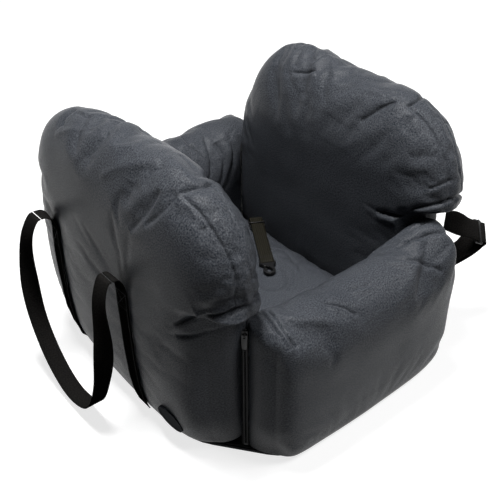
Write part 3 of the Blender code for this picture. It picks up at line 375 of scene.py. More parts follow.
# %% Pressure simulation
def spread_out(mesh, values, rounds):
    """Average values over neighbouring points again and again, which leaves only their broad trend."""
    edges = np.empty(len(mesh.edges) * 2, np.int64)
    mesh.edges.foreach_get("vertices", edges)
    a, b = edges.reshape(-1, 2).T
    count = len(mesh.vertices)
    total = np.bincount(a, minlength=count) + np.bincount(b, minlength=count)
    for _ in range(rounds):
        values = np.stack([(np.bincount(a, column[b], count) + np.bincount(b, column[a], count)) / total
                           for column in values.T], axis=1)
    return values


def near_base(points, below, over):
    """1 at the base, falling to 0 over a height that ends at below."""
    return np.clip((below - points[:, 2]) / over, 0, 1)


cloth_values = {
    "quality": 4, "mass": 0.25, "tension_stiffness": 18, "compression_stiffness": 18, "shear_stiffness": 6,
    "bending_stiffness": 0.6, "air_damping": 2, "use_pressure": True, "uniform_pressure_force": 4.0}
cloth_steps, held_levels = 20, 8
trend_rounds, trend_share = 70, 0.9


def blow_up(piece, held, spare, cap, depth, calm=None):
    """Inflate a closed skin. held is 0 to 1 per point, 1 where it can't move; cap limits the movement.

    A pressure alone would turn the form into a balloon. So the broad trend of the movement is taken
    off again, and the wrinkles and the swell beside the seams stay. A point that moves by m ends up
    moved by cap * tanh(m / cap), times calm where some parts of the cloth are drawn tight. At the
    end the skin, which was slimmed before, is moved out again by depth.
    """
    mesh = piece.data
    before = points_of(mesh)
    group = piece.vertex_groups.new(name="held")
    levels = np.round(np.clip(held, 0, 1) * held_levels).astype(int)
    for level in range(1, held_levels + 1):
        group.add(np.flatnonzero(levels == level).tolist(), level / held_levels, "REPLACE")
    cloth = piece.modifiers.new("filling", "CLOTH")
    for setting, value in cloth_values.items():
        setattr(cloth.settings, setting, value)
    cloth.settings.shrink_min = -spare
    cloth.settings.effector_weights.gravity = 0
    cloth.settings.vertex_group_mass = "held"
    cloth.collision_settings.use_collision = False
    cloth.point_cache.frame_start = 1
    cloth.point_cache.frame_end = cloth_steps
    for step in range(1, cloth_steps + 1):
        scene.frame_set(step)
    seen = piece.evaluated_get(bpy.context.evaluated_depsgraph_get())
    after = points_of(seen.data)
    piece.modifiers.clear()
    piece.vertex_groups.clear()
    scene.frame_set(1)
    move = after - before
    move -= spread_out(mesh, move, trend_rounds) * trend_share
    length = np.linalg.norm(move, axis=1, keepdims=True) + 1e-9
    kept = move * cap * np.tanh(length / cap) / length
    put_points(mesh, before + (kept if calm is None else kept * calm[:, None]))
    print(piece.name, "wrinkles up to mm", round(float(length.max()) * 1000, 1))
    put_points(mesh, points_of(mesh) + normals_of(mesh) * depth)


# %% [markdown]
# ## Seams, folds and valleys
#
# After the simulation the cloth is smooth and full. Seams hold it down along a line, folds are
# lines where it doubles over, and both are short and sharp. Their lines are named as points on the
# seat, measured from the photograph, and all are pressed in with one formula.

# %% Lines pressed into cloth
def finer_near(piece, paths, reach):
    """Cut the cells near some lines in four, so that sharp folds have points to bend on."""
    mesh = piece.data
    points = points_of(mesh)
    close = np.zeros(len(points), bool)
    for path in paths:
        close |= distance_to(points, path)[0] < reach
    build = bmesh.new()
    build.from_mesh(mesh)
    build.verts.ensure_lookup_table()
    edges = [e for e in build.edges if close[e.verts[0].index] and close[e.verts[1].index]]
    bmesh.ops.subdivide_edges(build, edges=edges, cuts=1, use_grid_fill=True, smooth=0.0)
    bmesh.ops.triangulate(build, faces=[f for f in build.faces if len(f.verts) > 4])
    build.to_mesh(mesh)
    build.free()


def distance_to(points, path):
    """Distance of points from a broken line, the vector from it, its heading and the share of its length.

    Points well outside the line's box aren't measured. They get a distance of 9 m.
    """
    far = np.full(len(points), 9.0)
    offset = np.zeros((len(points), 3))
    heading = np.zeros((len(points), 3))
    share = np.zeros(len(points))
    steps = np.linalg.norm(np.diff(path, axis=0), axis=1)
    total = steps.sum()
    low, high = path.min(0) - 0.07, path.max(0) + 0.07
    near = np.flatnonzero(((points > low) & (points < high)).all(1))
    some = points[near]
    best = np.full(len(near), 9.0)
    done = 0.0
    for a, b, step in zip(path[:-1], path[1:], steps):
        if step < 1e-9:
            continue
        t = np.clip((some - a) @ (b - a) / step ** 2, 0, 1)
        away = some - (a + t[:, None] * (b - a))
        length = np.linalg.norm(away, axis=1)
        better = length < best
        best[better] = length[better]
        offset[near[better]] = away[better]
        heading[near[better]] = (b - a) / step
        share[near[better]] = (done + t[better] * step) / total
        done += step
    far[near] = best
    return far, offset, heading, share


def on_surface(piece, path, steps=5):
    """A smooth line through some points, each moved to the nearest place on a piece."""
    tree = tree_of(piece.data)
    line = smooth_path(path, steps)
    return np.array([tuple(tree.find_nearest(Vector(p))[0]) for p in line])


def press(piece, lines):
    """Press folds and seams into a skin.

    Each line has points, depth, width and lip. Across the line the cloth sinks by depth times a bell
    of that width, and on its first side it rises by lip and leans over the line. Both fade at the ends.
    """
    mesh = piece.data
    points, normals = points_of(mesh), normals_of(mesh)
    moved = np.zeros_like(points)
    for path, depth, width, lip in lines:
        far, offset, heading, share = distance_to(points, path)
        near = far < width * 7
        sideways = np.cross(heading, normals)
        signed = (offset * sideways).sum(1)
        fade = np.clip(np.minimum(share, 1 - share) * 7, 0, 1) ** 0.6 * 0.9 + 0.1
        sink = np.exp(-np.abs(signed / width) ** 1.6)
        rise = np.exp(-((signed - 2.0 * width) / (1.7 * width)) ** 2) * (signed > -width)
        lean = np.exp(-((signed - 1.2 * width) / (1.2 * width)) ** 2)
        push = (-depth * sink + lip * rise) * fade * np.clip(2.2 - far / (3 * width), 0, 1)
        moved[near] += (normals * push[:, None] - sideways * (lip * 0.8 * lean * fade)[:, None])[near]
    put_points(mesh, points + moved)


def fold(depth, width, lip, *spots):
    """A line for press: its sizes in tenths of a millimetre, its points in millimetres."""
    path = [tuple(number / 1000 for number in spot) for spot in spots]
    return path, depth / 10000, width / 10000, lip / 10000


def finish_form(piece, lines):
    """Double the cells of a blown up form, refine it near its lines and press them in."""
    doubling = piece.modifiers.new("doubling", "SUBSURF")
    doubling.levels = 1
    settled(piece)
    paths = [on_surface(piece, line[0]) for line in lines]
    finer_near(piece, paths, 0.012)
    press(piece, [(path, *line[1:]) for path, line in zip(paths, lines)])
    piece.data.materials.clear()
    piece.data.materials.append(shell_cloth)
    piece.data.shade_smooth()


def lay_cloth(piece):
    """Map the cloth in metres, each face by the two coordinates that it faces least. Turn it outwards."""
    mesh = piece.data
    count = len(mesh.loops)
    owners = np.empty(count, np.int32)
    mesh.loops.foreach_get("vertex_index", owners)
    sides = np.empty(len(mesh.polygons) * 3, np.float32)
    mesh.polygons.foreach_get("normal", sides)
    sizes = np.empty(len(mesh.polygons), np.int32)
    mesh.polygons.foreach_get("loop_total", sizes)
    main = np.repeat(np.abs(sides.reshape(-1, 3)).argmax(1), sizes)
    spots = points_of(mesh)[owners]
    pairs = np.array([(1, 2), (0, 2), (0, 1)])[main]
    rows = np.arange(count)
    flat = np.stack([spots[rows, pairs[:, 0]], spots[rows, pairs[:, 1]]], axis=1)
    layer = mesh.uv_layers.get("cloth") or mesh.uv_layers.new(name="cloth")
    layer.data.foreach_set("uv", flat.astype(np.float32).ravel())
    outward(mesh)


# %% [markdown]
# ## Sizes shared by the forms
#
# These repeat the seat's main lengths: the forms here have the same boxes as the solids that they
# stand for, so every strap and zip still meets them.

# %% Sizes and outlines
wing_height, wing_length, wing_thickness = 0.475, 0.530, 0.140
front_height, back_height, wall_thickness, wall_length = 0.264, 0.286, 0.125, 0.456
tuck_under, stand = 0.015, 0.0063
half_width, half_depth = 0.560 / 2, 0.630 / 2
inner_x, inner_y = half_width - wing_thickness, half_depth - wall_thickness
webbing_thick, clearance = 0.0018, 0.0003
skin = webbing_thick / 2 + clearance
corner = math.radians(39.0)
mitre = np.array([math.cos(corner), math.sin(corner)])
zip_out, zip_lean, zip_run = 0.062, 0.004, 0.238
back_seam_out = 0.064
cell = 0.006

wing_outline = [
    (0.045, 0.000), (0.050, 0.250), (0.045, 0.480), (0.000, 0.660), (0.060, 0.870), (0.200, 0.990),
    (0.460, 1.000), (0.690, 0.985), (0.885, 0.900), (0.960, 0.700), (1.000, 0.420), (0.970, 0.000)]
wall_outline = [
    (0.000, 0.000), (0.000, 0.480), (0.000, 0.980), (0.160, 1.000), (0.500, 0.965),
    (0.840, 1.000), (1.000, 0.980), (1.000, 0.480), (1.000, 0.000), (0.500, 0.000)]
pad_outline = [
    (0.000, 0.060), (0.090, 0.000), (0.500, 0.000), (0.910, 0.000), (1.000, 0.060), (1.000, 0.500),
    (1.000, 0.940), (0.910, 1.000), (0.500, 1.000), (0.090, 1.000), (0.000, 0.940), (0.000, 0.500)]
print("cell mm", cell * 1000)

# %% [markdown]
# ## Where two forms meet
#
# At each corner a wing and a wall press against each other along a seam or a zip. Neither is cut:
# each form is flattened against the plane between them, and its corner is rounded off towards the
# zip, as if a thumb ran along it. The left zip lies nearly flush in the photograph, so the cloth on
# both its sides is rounded far back. At the right zip the front wall stays fuller.

# %% Corner valleys
# How flat a corner stays beside its seam, then the reach, swell and slope of its rounding
flush_corner = (0.0045, 0.045, (0.010, 0.030), (0.15, 0.70))
full_corner = (0.0075, 0.030, (0.012, 0.032), (2.2, 2.0))
back_corner = (0.0, 0.026, (0.026, 0.026), (2.5, 2.5))


def valley(piece, side, end, way, top, fade, rounding):
    """Flatten a form against the corner plane and round its corner off towards the seam, up to top.

    way is 1 for a wing and -1 for a wall. With o the distance outwards along the plane and s the
    distance from it, s is kept above a little, and o below the seam's place plus a quarter ellipse of
    s that is reach long and swell high, then a slope. swell and slope are pairs: at the base, and
    above it. The limit is blended over soft, so that it leaves no edge.
    """
    flat_half, reach, swell, slope = rounding
    seam_out, lean = (zip_out, zip_lean) if end < 0 else (back_seam_out, 0.0)
    points = points_of(piece.data)
    out = np.array((side * mitre[0], end * mitre[1]))
    across = np.array((side * mitre[1], -end * mitre[0])) * way
    start = np.array((side * inner_x, end * inner_y))
    rel = points[:, :2] - start
    o, s = rel @ out, rel @ across
    height = points[:, 2]
    weight = gently(np.clip((top + fade - height) / fade, 0, 1))
    weight *= rel @ np.array((side, end)) > -0.10
    kept = np.maximum(s, 0.0006)
    past = np.clip((kept - flat_half) / reach, 0, 1)
    risen = gently(np.clip(height / 0.09, 0, 1))
    bulge = swell[0] + (swell[1] - swell[0]) * risen
    rounded = bulge * np.sqrt(1 - (1 - past) ** 2)
    limit = seam_out + lean * np.clip(height, 0, 0.25) / zip_run - 0.0026 + rounded
    limit += np.clip(kept - flat_half - reach, 0, None) * (slope[0] + (slope[1] - slope[0]) * risen)
    soft = 0.004 + 0.010 * risen
    over = (o - limit) / soft
    o_kept = np.where(over > 12, limit, o - soft * np.log1p(np.exp(np.clip(over, -30, 12))))
    moved = start + out * o_kept[:, None] + across * kept[:, None]
    points[:, :2] += (moved - points[:, :2]) * weight[:, None]
    put_points(piece.data, points)


def stuff(piece, packs):
    """Move the filling about: each pack is a centre, a reach and a movement, which fades as a bell."""
    points = points_of(piece.data)
    moved = points.copy()
    for centre, reach, way in packs:
        far = np.linalg.norm(points - np.array(centre), axis=1)
        moved += np.exp(-(far / reach) ** 2)[:, None] * np.array(way)
    put_points(piece.data, moved)


def set_down(piece, floor, soft=0.004):
    """Rest a form on its base: heights below floor are brought up to it, with a rounded edge."""
    points = points_of(piece.data)
    deep = (floor - points[:, 2]) / soft
    points[:, 2] += soft * np.where(deep > 20, deep, np.log1p(np.exp(np.clip(deep, -30, 20))))
    put_points(piece.data, points)


def hold_down(piece, spots, facing, half, ease, gap):
    """Press a form in under a strap: spots lie on the strap's inner face, and facing is the way out."""
    points = points_of(piece.data)
    facing = np.asarray(facing, float)
    far, _, _, share = distance_to(points - np.outer(points @ facing, facing),
                                   spots - np.outer(spots @ facing, facing))
    level = spots @ facing
    steps = np.linalg.norm(np.diff(spots - np.outer(level, facing), axis=0), axis=1)
    reached = np.concatenate([[0], np.cumsum(steps)]) / steps.sum()
    limit = np.interp(share, reached, level) - gap
    beside = np.clip(far - half, 0, None)
    limit = limit + beside ** 2 / ease
    over = points @ facing - limit
    inside = (far < half + 0.05) & (over > 0) & (over < 0.05)
    points[inside] -= facing * over[inside][:, None]
    put_points(piece.data, points)


def held_near(points, paths, reach, soft):
    """Weights from 0 to 1: 1 within reach of a line, fading over soft."""
    weight = np.zeros(len(points))
    for path in paths:
        far = distance_to(points, path)[0]
        weight = np.maximum(weight, np.clip((reach + soft - far) / soft, 0, 1))
    return weight


def mirrored(rows, side):
    """Lines written for the right side, carried to the given side. Each lip keeps to its own edge."""
    return [([(side * x, y, z) for x, y, z in path], depth, width, lip * side)
            for path, depth, width, lip in rows]


# %% [markdown]
# ## The wings
#
# A wing is one long piece of cloth wrapped over the top, closed at its front end by a narrow gusset.
# The gusset's top corner is where the photograph shows folds running out like rays, because three
# edges meet there. Above the zip the wing's end hangs over the zipped part, which makes the two
# deep level creases. The outer folds are read from the left wing and the inner ones from the right,
# and both wings get both sets. The level roll between the creases is the left wing's own.

# %% Fold lines of a wing
wing_packs = {
    -1: [((-0.265, 0.245, 0.330), 0.130, (-0.004, 0.005, 0.002)),
         ((-0.230, 0.190, 0.455), 0.110, (-0.004, 0.006, 0.008)),
         ((-0.240, -0.240, 0.380), 0.090, (-0.003, -0.004, 0.002))],
    1: [((0.200, 0.262, 0.400), 0.110, (0.000, -0.026, -0.002)),
        ((0.190, 0.110, 0.475), 0.100, (0.000, 0.000, 0.009)),
        ((0.265, -0.215, 0.330), 0.120, (0.001, -0.004, 0.002)),
        ((0.205, -0.045, 0.475), 0.090, (0.000, 0.000, -0.011))]}
# The first three lines are the gusset's seams: outer, inner and top
wing_lines = [
    fold(28, 24, 4, (237, -154, 454), (234, -175, 448), (230, -200, 436), (226, -227, 410),
         (223, -242, 390), (222, -251, 367), (226, -256, 345), (228, -259, 322)),
    fold(28, 24, -4, (189, -164, 452), (190, -180, 447), (193, -205, 432), (195, -232, 404),
         (196, -247, 378), (196, -256, 350), (195, -261, 322)),
    fold(50, 34, 14, (237, -154, 454), (229, -159, 457), (214, -165, 458), (199, -167, 456),
         (189, -164, 452)),
    fold(34, 36, 16, (237, -154, 454), (249, -152, 443), (258, -146, 430), (266, -132, 412),
         (270, -120, 400)),
    fold(32, 50, 14, (247, -128, 450), (258, -124, 434), (265, -117, 418), (270, -108, 400),
         (274, -91, 380)),
    fold(16, 25, 5, (240, -203, 424), (233, -207, 427), (229, -207, 430)),
    fold(45, 36, 16, (217, 127, 455), (228, 130, 451), (239, 130, 444), (246, 121, 440)),
    fold(30, 30, 10, (223, 120, 456), (222, 91, 463), (215, 84, 466)),
    fold(-18, 60, 0, (255, 132, 424), (247, 94, 446), (236, 67, 461), (224, 43, 469)),
    fold(-16, 70, 0, (265, -7, 421), (257, -32, 442), (248, -58, 456), (234, -77, 467)),
    fold(95, 33, 0, (271, -178, 268), (269, -190, 277), (263, -215, 295), (253, -239, 308),
         (241, -252, 315), (226, -260, 321), (206, -264, 324)),
    fold(62, 36, 0, (270, -178, 248), (265, -204, 254), (257, -227, 261), (241, -250, 271),
         (226, -258, 275)),
    fold(26, 40, 10, (189, -150, 460), (173, -133, 450), (160, -115, 433), (154, -101, 416)),
    fold(95, 42, 36, (146, -160, 277), (147, -168, 276), (150, -187, 278), (154, -205, 280),
         (160, -224, 287), (169, -242, 295), (185, -257, 306)),
    fold(70, 36, 24, (157, -217, 299), (163, -231, 309), (173, -246, 316), (187, -257, 321),
         (204, -262, 325)),
    fold(30, 34, 12, (169, -236, 343), (173, -241, 345), (184, -250, 352), (201, -256, 356)),
    fold(45, 36, 16, (162, 74, 434), (165, 55, 441), (169, 39, 449), (174, 25, 456)),
    fold(36, 34, 12, (181, 48, 461), (189, 42, 466), (201, 40, 471), (213, 38, 472)),
    fold(26, 40, 8, (189, -89, 467), (191, -108, 467), (193, -127, 466), (197, -141, 464)),
]
left_lines = [
    fold(90, 110, 0, (264, -218, 310), (254, -236, 321), (238, -251, 331), (212, -260, 338)),
    fold(-60, 70, 0, (264, -208, 276), (252, -236, 292), (234, -254, 303), (210, -262, 309)),
]
print("wing lines", len(wing_lines), len(left_lines))

# %% [markdown]
# ## Where the straps run
#
# The carry straps are sewn down the wing, so they set how far the filling can swell there. Their
# lines are found first: a ray from outside finds the solid wing's face at each height.

# %% Strap lines on the wings
handle_webbing, handle_top, handle_crown, handle_stand_off = 0.030, 0.262, 0.030, 0.055
handle_places = {"back": 0.158, "front": -0.055}
wing_trees = {side: tree_of(merged_copy(f"{hand}_wing")) for side, hand in ((-1, "left"), (1, "right"))}


def wing_face(side, y, height):
    """Where a level ray from outside meets the solid wing, and the face's normal there."""
    spot, normal, _, _ = wing_trees[side].ray_cast(Vector((side * 0.33, y, height)), Vector((-side, 0, 0)))
    return spot, normal


def strap_run(side, y):
    """Points down a wing's outer face at one depth, just off it, and the level direction along it."""
    low = stand + 0.009
    route, level = [], []
    for height in low + (handle_top - low) * np.linspace(1, 0, 17) ** 1.8:
        spot, normal = wing_face(side, y, height)
        route.append(tuple(spot + normal * (skin + clearance * 5)))
        flat = Vector((0, 1, 0))
        level.append(tuple((flat - normal * normal.y).normalized()))
    return np.array(route), np.array(level)


strap_runs = {(side, label): strap_run(side, y) for side in (-1, 1) for label, y in handle_places.items()}
print("strap tops", [tuple(np.round(run[0][0], 3)) for run in strap_runs.values()])

# %% Both wings
along_y = ((0, 1, 0), (0, 0, 1), (1, 0, 0))
along_x = ((1, 0, 0), (0, 0, 1), (0, -1, 0))
flat_down = ((1, 0, 0), (0, 1, 0), (0, 0, 1))


def slimmed(piece, depth):
    """Move a skin in along its normals, to leave room for the swell."""
    put_points(piece.data, points_of(piece.data) - normals_of(piece.data) * depth)


def ripple(piece, lines, size, height, reach, seed):
    """Small gathers beside seams: noise that fades with the distance from them."""
    points, normals = points_of(piece.data), normals_of(piece.data)
    near = np.zeros(len(points))
    for path in lines:
        near = np.maximum(near, np.exp(-(distance_to(points, path)[0] / reach) ** 2))
    gathers = smooth_noise(points, size, seed) * near * height
    amount = gathers + smooth_noise(points, 0.045, seed + 1) * height * 0.5
    put_points(piece.data, points + normals * amount[:, None])


slim, spare = 0.003, 0.035


def make_wing(side):
    """One stuffed wing: swelled, folded, flattened at its corners and pressed in under its straps."""
    hand = "left" if side < 0 else "right"
    x0, x1 = sorted((side * half_width, side * inner_x))
    wing = stuffed_form(f"padded_{hand}_wing", wing_outline, (-wing_length / 2, -tuck_under, x0),
                        (wing_length / 2, wing_height, x1), along_y, cell)
    slimmed(wing, slim)
    lines = mirrored(wing_lines + (left_lines if side < 0 else []), side)
    gusset = [line[0] for line in lines[:3]]
    straps = [strap_runs[(side, label)][0] for label in handle_places]
    corner_line = np.array([(side * 0.200, -0.240, 0.0), (side * 0.202, -0.242, 0.27)])
    points = points_of(wing.data)
    held = held_near(points, [smooth_path(path, 4) for path in gusset], 0.004, 0.010)
    held = np.maximum(held, held_near(points, straps, 0.012, 0.012) * 0.8)
    held = np.maximum(held, near_base(points, 0.05, 0.03))
    held = np.maximum(held, held_near(points, [corner_line], 0.02, 0.03) * 0.7)
    drawn = 0.25 + 0.65 * np.clip((points[:, 2] - 0.22) / 0.16, 0, 1)
    blow_up(wing, held, spare, 0.010, slim, calm=drawn)
    finish_form(wing, lines)
    ripple(wing, [on_surface(wing, path) for path in gusset], 0.011, 0.0010, 0.020, 5 + side)
    stuff(wing, wing_packs[side])
    valley(wing, side, -1, 1, 0.285, 0.022, flush_corner)
    valley(wing, side, 1, 1, 0.290, 0.05, back_corner)
    set_down(wing, stand)
    for run in straps:
        inner_face = run - np.array((side, 0, 0)) * skin
        hold_down(wing, inner_face, (side, 0, 0), handle_webbing / 2, 0.020, 0.0006)
    lay_cloth(wing)
    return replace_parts(wing, f"{hand}_wing")


wings = {side: make_wing(side) for side in (-1, 1)}
print("wing triangles", [len(w.data.polygons) * 2 for w in wings.values()])

# %% [markdown]
# ## The front and back walls
#
# Both walls are shorter stuffed bags. The front one hinges at the base once the zips are open, so it
# rides on its own body, and its folds run from the corners where the zips pull on it. Its rim rises
# to the right, where more filling is packed into the corner.

# %% Walls
front_lines = [
    fold(75, 34, 26, (-146, -222, 258), (-155, -259, 263), (-156, -278, 259), (-156, -289, 251),
         (-153, -299, 240)),
    fold(54, 31, 16, (-156, -220, 257), (-164, -247, 263), (-169, -265, 263), (-172, -282, 254)),
    fold(42, 25, 10, (-70, -264, 260), (-57, -278, 255), (-46, -288, 248), (-34, -300, 236)),
    fold(33, 32, 10, (-18, -264, 259), (-1, -268, 258), (17, -275, 255)),
    fold(60, 36, 21, (108, -238, 262), (124, -245, 262), (146, -257, 264), (169, -268, 262),
         (186, -277, 255)),
    fold(48, 41, 16, (85, -255, 262), (109, -280, 256), (128, -296, 245), (148, -306, 225)),
    fold(45, 29, 13, (145, -230, 260), (158, -236, 261), (176, -242, 262)),
]
back_lines = [
    fold(32, 36, 12, (50, 256, 284), (48, 226, 275), (54, 212, 264), (60, 204, 252)),
    fold(46, 48, 18, (100, 214, 268), (104, 197, 236), (98, 194, 213), (87, 192, 185)),
    fold(50, 50, 20, (132, 208, 262), (127, 195, 229), (113, 193, 201), (100, 192, 172)),
    fold(34, 46, 14, (88, 236, 281), (80, 208, 261), (75, 197, 235), (63, 193, 205)),
    fold(40, 46, 16, (-110, 214, 268), (-112, 197, 236), (-104, 194, 200)),
    fold(30, 46, 12, (-76, 236, 281), (-70, 208, 258), (-64, 195, 225)),
]
front_packs = [((0.225, -0.235, 0.255), 0.085, (0.004, -0.004, 0.030))]


def make_wall(name, node, end, height, lines, packs, roundings, seed):
    """A stuffed wall between the wings. end is -1 at the front and 1 at the back.

    roundings are those of its left and right corner.
    """
    half = wall_length / 2
    depths = (inner_y, half_depth) if end < 0 else (-half_depth, -inner_y)
    wall = stuffed_form(name, wall_outline, (-half, -tuck_under, depths[0]), (half, height, depths[1]),
                        along_x, cell)
    slimmed(wall, slim)
    points = points_of(wall.data)
    held = near_base(points, 0.05, 0.03)
    for side in (-1, 1):
        line = np.array([(side * 0.186, end * 0.227, 0.0), (side * 0.188, end * 0.229, height)])
        held = np.maximum(held, held_near(points, [line], 0.02, 0.03) * 0.8)
    drawn = 0.30 + 0.70 * np.clip((points[:, 2] - 0.14) / 0.10, 0, 1)
    blow_up(wall, held, spare, 0.009, slim, calm=drawn)
    finish_form(wall, lines)
    corners = [np.array([(side * 0.175, end * 0.250, z) for z in (0.02, 0.12, height - 0.02)])
               for side in (-1, 1)]
    ripple(wall, corners, 0.014, 0.0013, 0.035, seed)
    stuff(wall, packs)
    for side, rounding in zip((-1, 1), roundings):
        valley(wall, side, end, -1, 0.5, 0.02, rounding)
    set_down(wall, stand)
    lay_cloth(wall)
    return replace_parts(wall, node)


front_wall = make_wall("padded_front_wall", "front_wall", -1, front_height, front_lines, front_packs,
                       (flush_corner, full_corner), 21)
back_wall = make_wall("padded_back_wall", "back_wall", 1, back_height, back_lines, [],
                      (back_corner, back_corner), 31)
print("wall triangles", len(front_wall.data.polygons) * 2, len(back_wall.data.polygons) * 2)

# %% [markdown]
# ## The floor cushion
#
# The cushion fills the floor between the walls. It is held at its edge, and the tether lies on it, so
# its swell is pressed flat below the webbing.

# %% Cushion
tether_turn = math.radians(31.5)
tether_along = np.array((-math.sin(tether_turn), -math.cos(tether_turn), 0.0))
tether_wide = np.array((math.cos(tether_turn), -math.sin(tether_turn), 0.0))
tether_root = np.array((0.112, 0.108, 0.0))
tether_width, tether_length = 0.025, 0.142
cushion_top, cushion_slim, cushion_gap = 0.136, 0.002, 0.002
cushion_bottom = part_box("seat_cushion")[0][2]
cushion_lines = [
    fold(30, 60, 10, (-10, -20, 136), (-30, -50, 136), (-48, -90, 134)),
    fold(28, 50, 10, (60, -60, 136), (40, -85, 136), (12, -100, 136)),
    fold(26, 60, 8, (100, 10, 135), (85, -40, 136), (60, -80, 136)),
]
pad_x, pad_y = inner_x - cushion_gap, inner_y - cushion_gap
cushion = stuffed_form("padded_cushion", pad_outline, (-pad_x, -pad_y, 2 * cushion_bottom - cushion_top),
                       (pad_x, pad_y, cushion_top), flat_down, cell, band=0.72, ring=0.20, rings=2)
set_down(cushion, cushion_bottom, 0.002)
slimmed(cushion, cushion_slim)
blow_up(cushion, near_base(points_of(cushion.data), 0.09, 0.02), 0.03, 0.008, cushion_slim)
finish_form(cushion, cushion_lines)
webbing_foot = tether_root + (0, 0, cushion_top - 0.0002)
tether_line = np.array([webbing_foot + tether_along * d for d in np.linspace(-0.03, 0.20, 8)])
hold_down(cushion, tether_line, (0, 0, 1), 0.016, 0.030, 0.0)
lay_cloth(cushion)
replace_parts(cushion, "seat_cushion")
print("cushion triangles", len(cushion.data.polygons) * 2)

# %% [markdown]
# ## Webbing
#
# Webbing is a flat ribbon with slightly rounded edges. It is modelled by carrying a small cross
# section along the strap's line; its map holds metres across and along, for the weave. The lines are
# the ones that the solid straps follow, with more steps.

# %% Webbing along a line
def webbing(name, route, across, width, thick, steps, material):
    """A closed ribbon: a rounded section carried along route, its width along the across vectors."""
    path = smooth_path(route, steps)
    side = smooth_path(across, steps, even=True)
    along = np.gradient(path, axis=0)
    along /= np.linalg.norm(along, axis=1, keepdims=True)
    side = side - (side * along).sum(1, keepdims=True) * along
    side /= np.linalg.norm(side, axis=1, keepdims=True)
    face = np.cross(along, side)
    half, up = width / 2, thick / 2
    flats = [-half + 0.0004, -half * 0.5, 0, half * 0.5, half - 0.0004]
    section = [(a, -up) for a in flats] + [(half, -up * 0.4), (half, up * 0.4)]
    section += [(a, up) for a in flats[::-1]] + [(-half, up * 0.4), (-half, -up * 0.4)]
    count, rows = len(section), len(path)
    points = np.stack([path + side * a + face * b for a, b in section], axis=1).reshape(-1, 3)
    run = lengths_along(path)
    faces, maps = [], []
    places = [a for a, b in section] + [section[0][0]]
    for row in range(rows - 1):
        low, high = row * count, (row + 1) * count
        for k in range(count):
            after = (k + 1) % count
            faces.append((low + k, low + after, high + after, high + k))
            maps += [(places[k], run[row]), (places[k + 1], run[row]),
                     (places[k + 1], run[row + 1]), (places[k], run[row + 1])]
    faces.append(tuple(range(count))[::-1])
    faces.append(tuple((rows - 1) * count + k for k in range(count)))
    maps += [(place, 0.0) for place in places[:-1]][::-1] + [(place, run[-1]) for place in places[:-1]]
    mesh = bpy.data.meshes.new(name)
    mesh.from_pydata(points.tolist(), [], faces)
    mesh.uv_layers.new(name="cloth").data.foreach_set("uv", np.array(maps, np.float32).ravel())
    piece = new_piece(name, mesh, material)
    outward(mesh)
    return piece


def stitches(name, rows):
    """Sewn thread: each row has a stitch's start, its end and the way up, and becomes a rounded bar."""
    radius, sides = 0.00035, 6
    turns = np.linspace(0, 2 * math.pi, sides, endpoint=False)
    points, faces = [], []
    for a, b, up in np.asarray(rows, float):
        way = (b - a) / np.linalg.norm(b - a)
        side = np.cross(way, up)
        first = len(points)
        for share, size in ((0.0, 0.35), (0.15, 1.0), (0.85, 1.0), (1.0, 0.35)):
            centre = a + (b - a) * share
            points += [centre + (side * math.cos(t) + up * math.sin(t)) * radius * size for t in turns]
        for low in range(first, first + 3 * sides, sides):
            high = low + sides
            for k in range(sides):
                after = (k + 1) % sides
                faces.append((low + k, low + after, high + after, high + k))
        faces.append(tuple(first + k for k in range(sides))[::-1])
        faces.append(tuple(first + 3 * sides + k for k in range(sides)))
    mesh = bpy.data.meshes.new(name)
    mesh.from_pydata([tuple(p) for p in points], [], faces)
    piece = new_piece(name, mesh, thread)
    outward(mesh)
    return piece


# %% [markdown]
# ## The carry handles
#
# Two strips are sewn down each wing, and a free loop of the same webbing joins their tops, turning
# edge on as it hangs. The loop swings where the webbing bends over, so the strips and the loop are
# separate pieces with the bend between them.

# %% Handles
crown_steps = [(0.10, 0.34), (0.28, 0.70), (0.58, 0.93), (0.86, 1.00), (1.00, 1.00)]
loop_steps = [
    (0.60, 1.000, 0.004), (0.84, 1.020, 0.100), (0.96, 1.070, 0.380), (1.05, 0.990, 0.680),
    (1.12, 0.740, 0.910), (1.16, 0.430, 1.000), (1.14, 0.150, 0.930), (1.06, -0.005, 0.680),
    (0.95, -0.050, 0.380), (0.84, -0.020, 0.100), (0.60, 0.000, 0.004)]
loop_floor_gap = 0.016
loop_turns = [0.00, 0.00, 0.10, 0.45, 0.95, 1.00, 1.00, 1.00, 0.95, 0.45, 0.10, 0.00, 0.00]


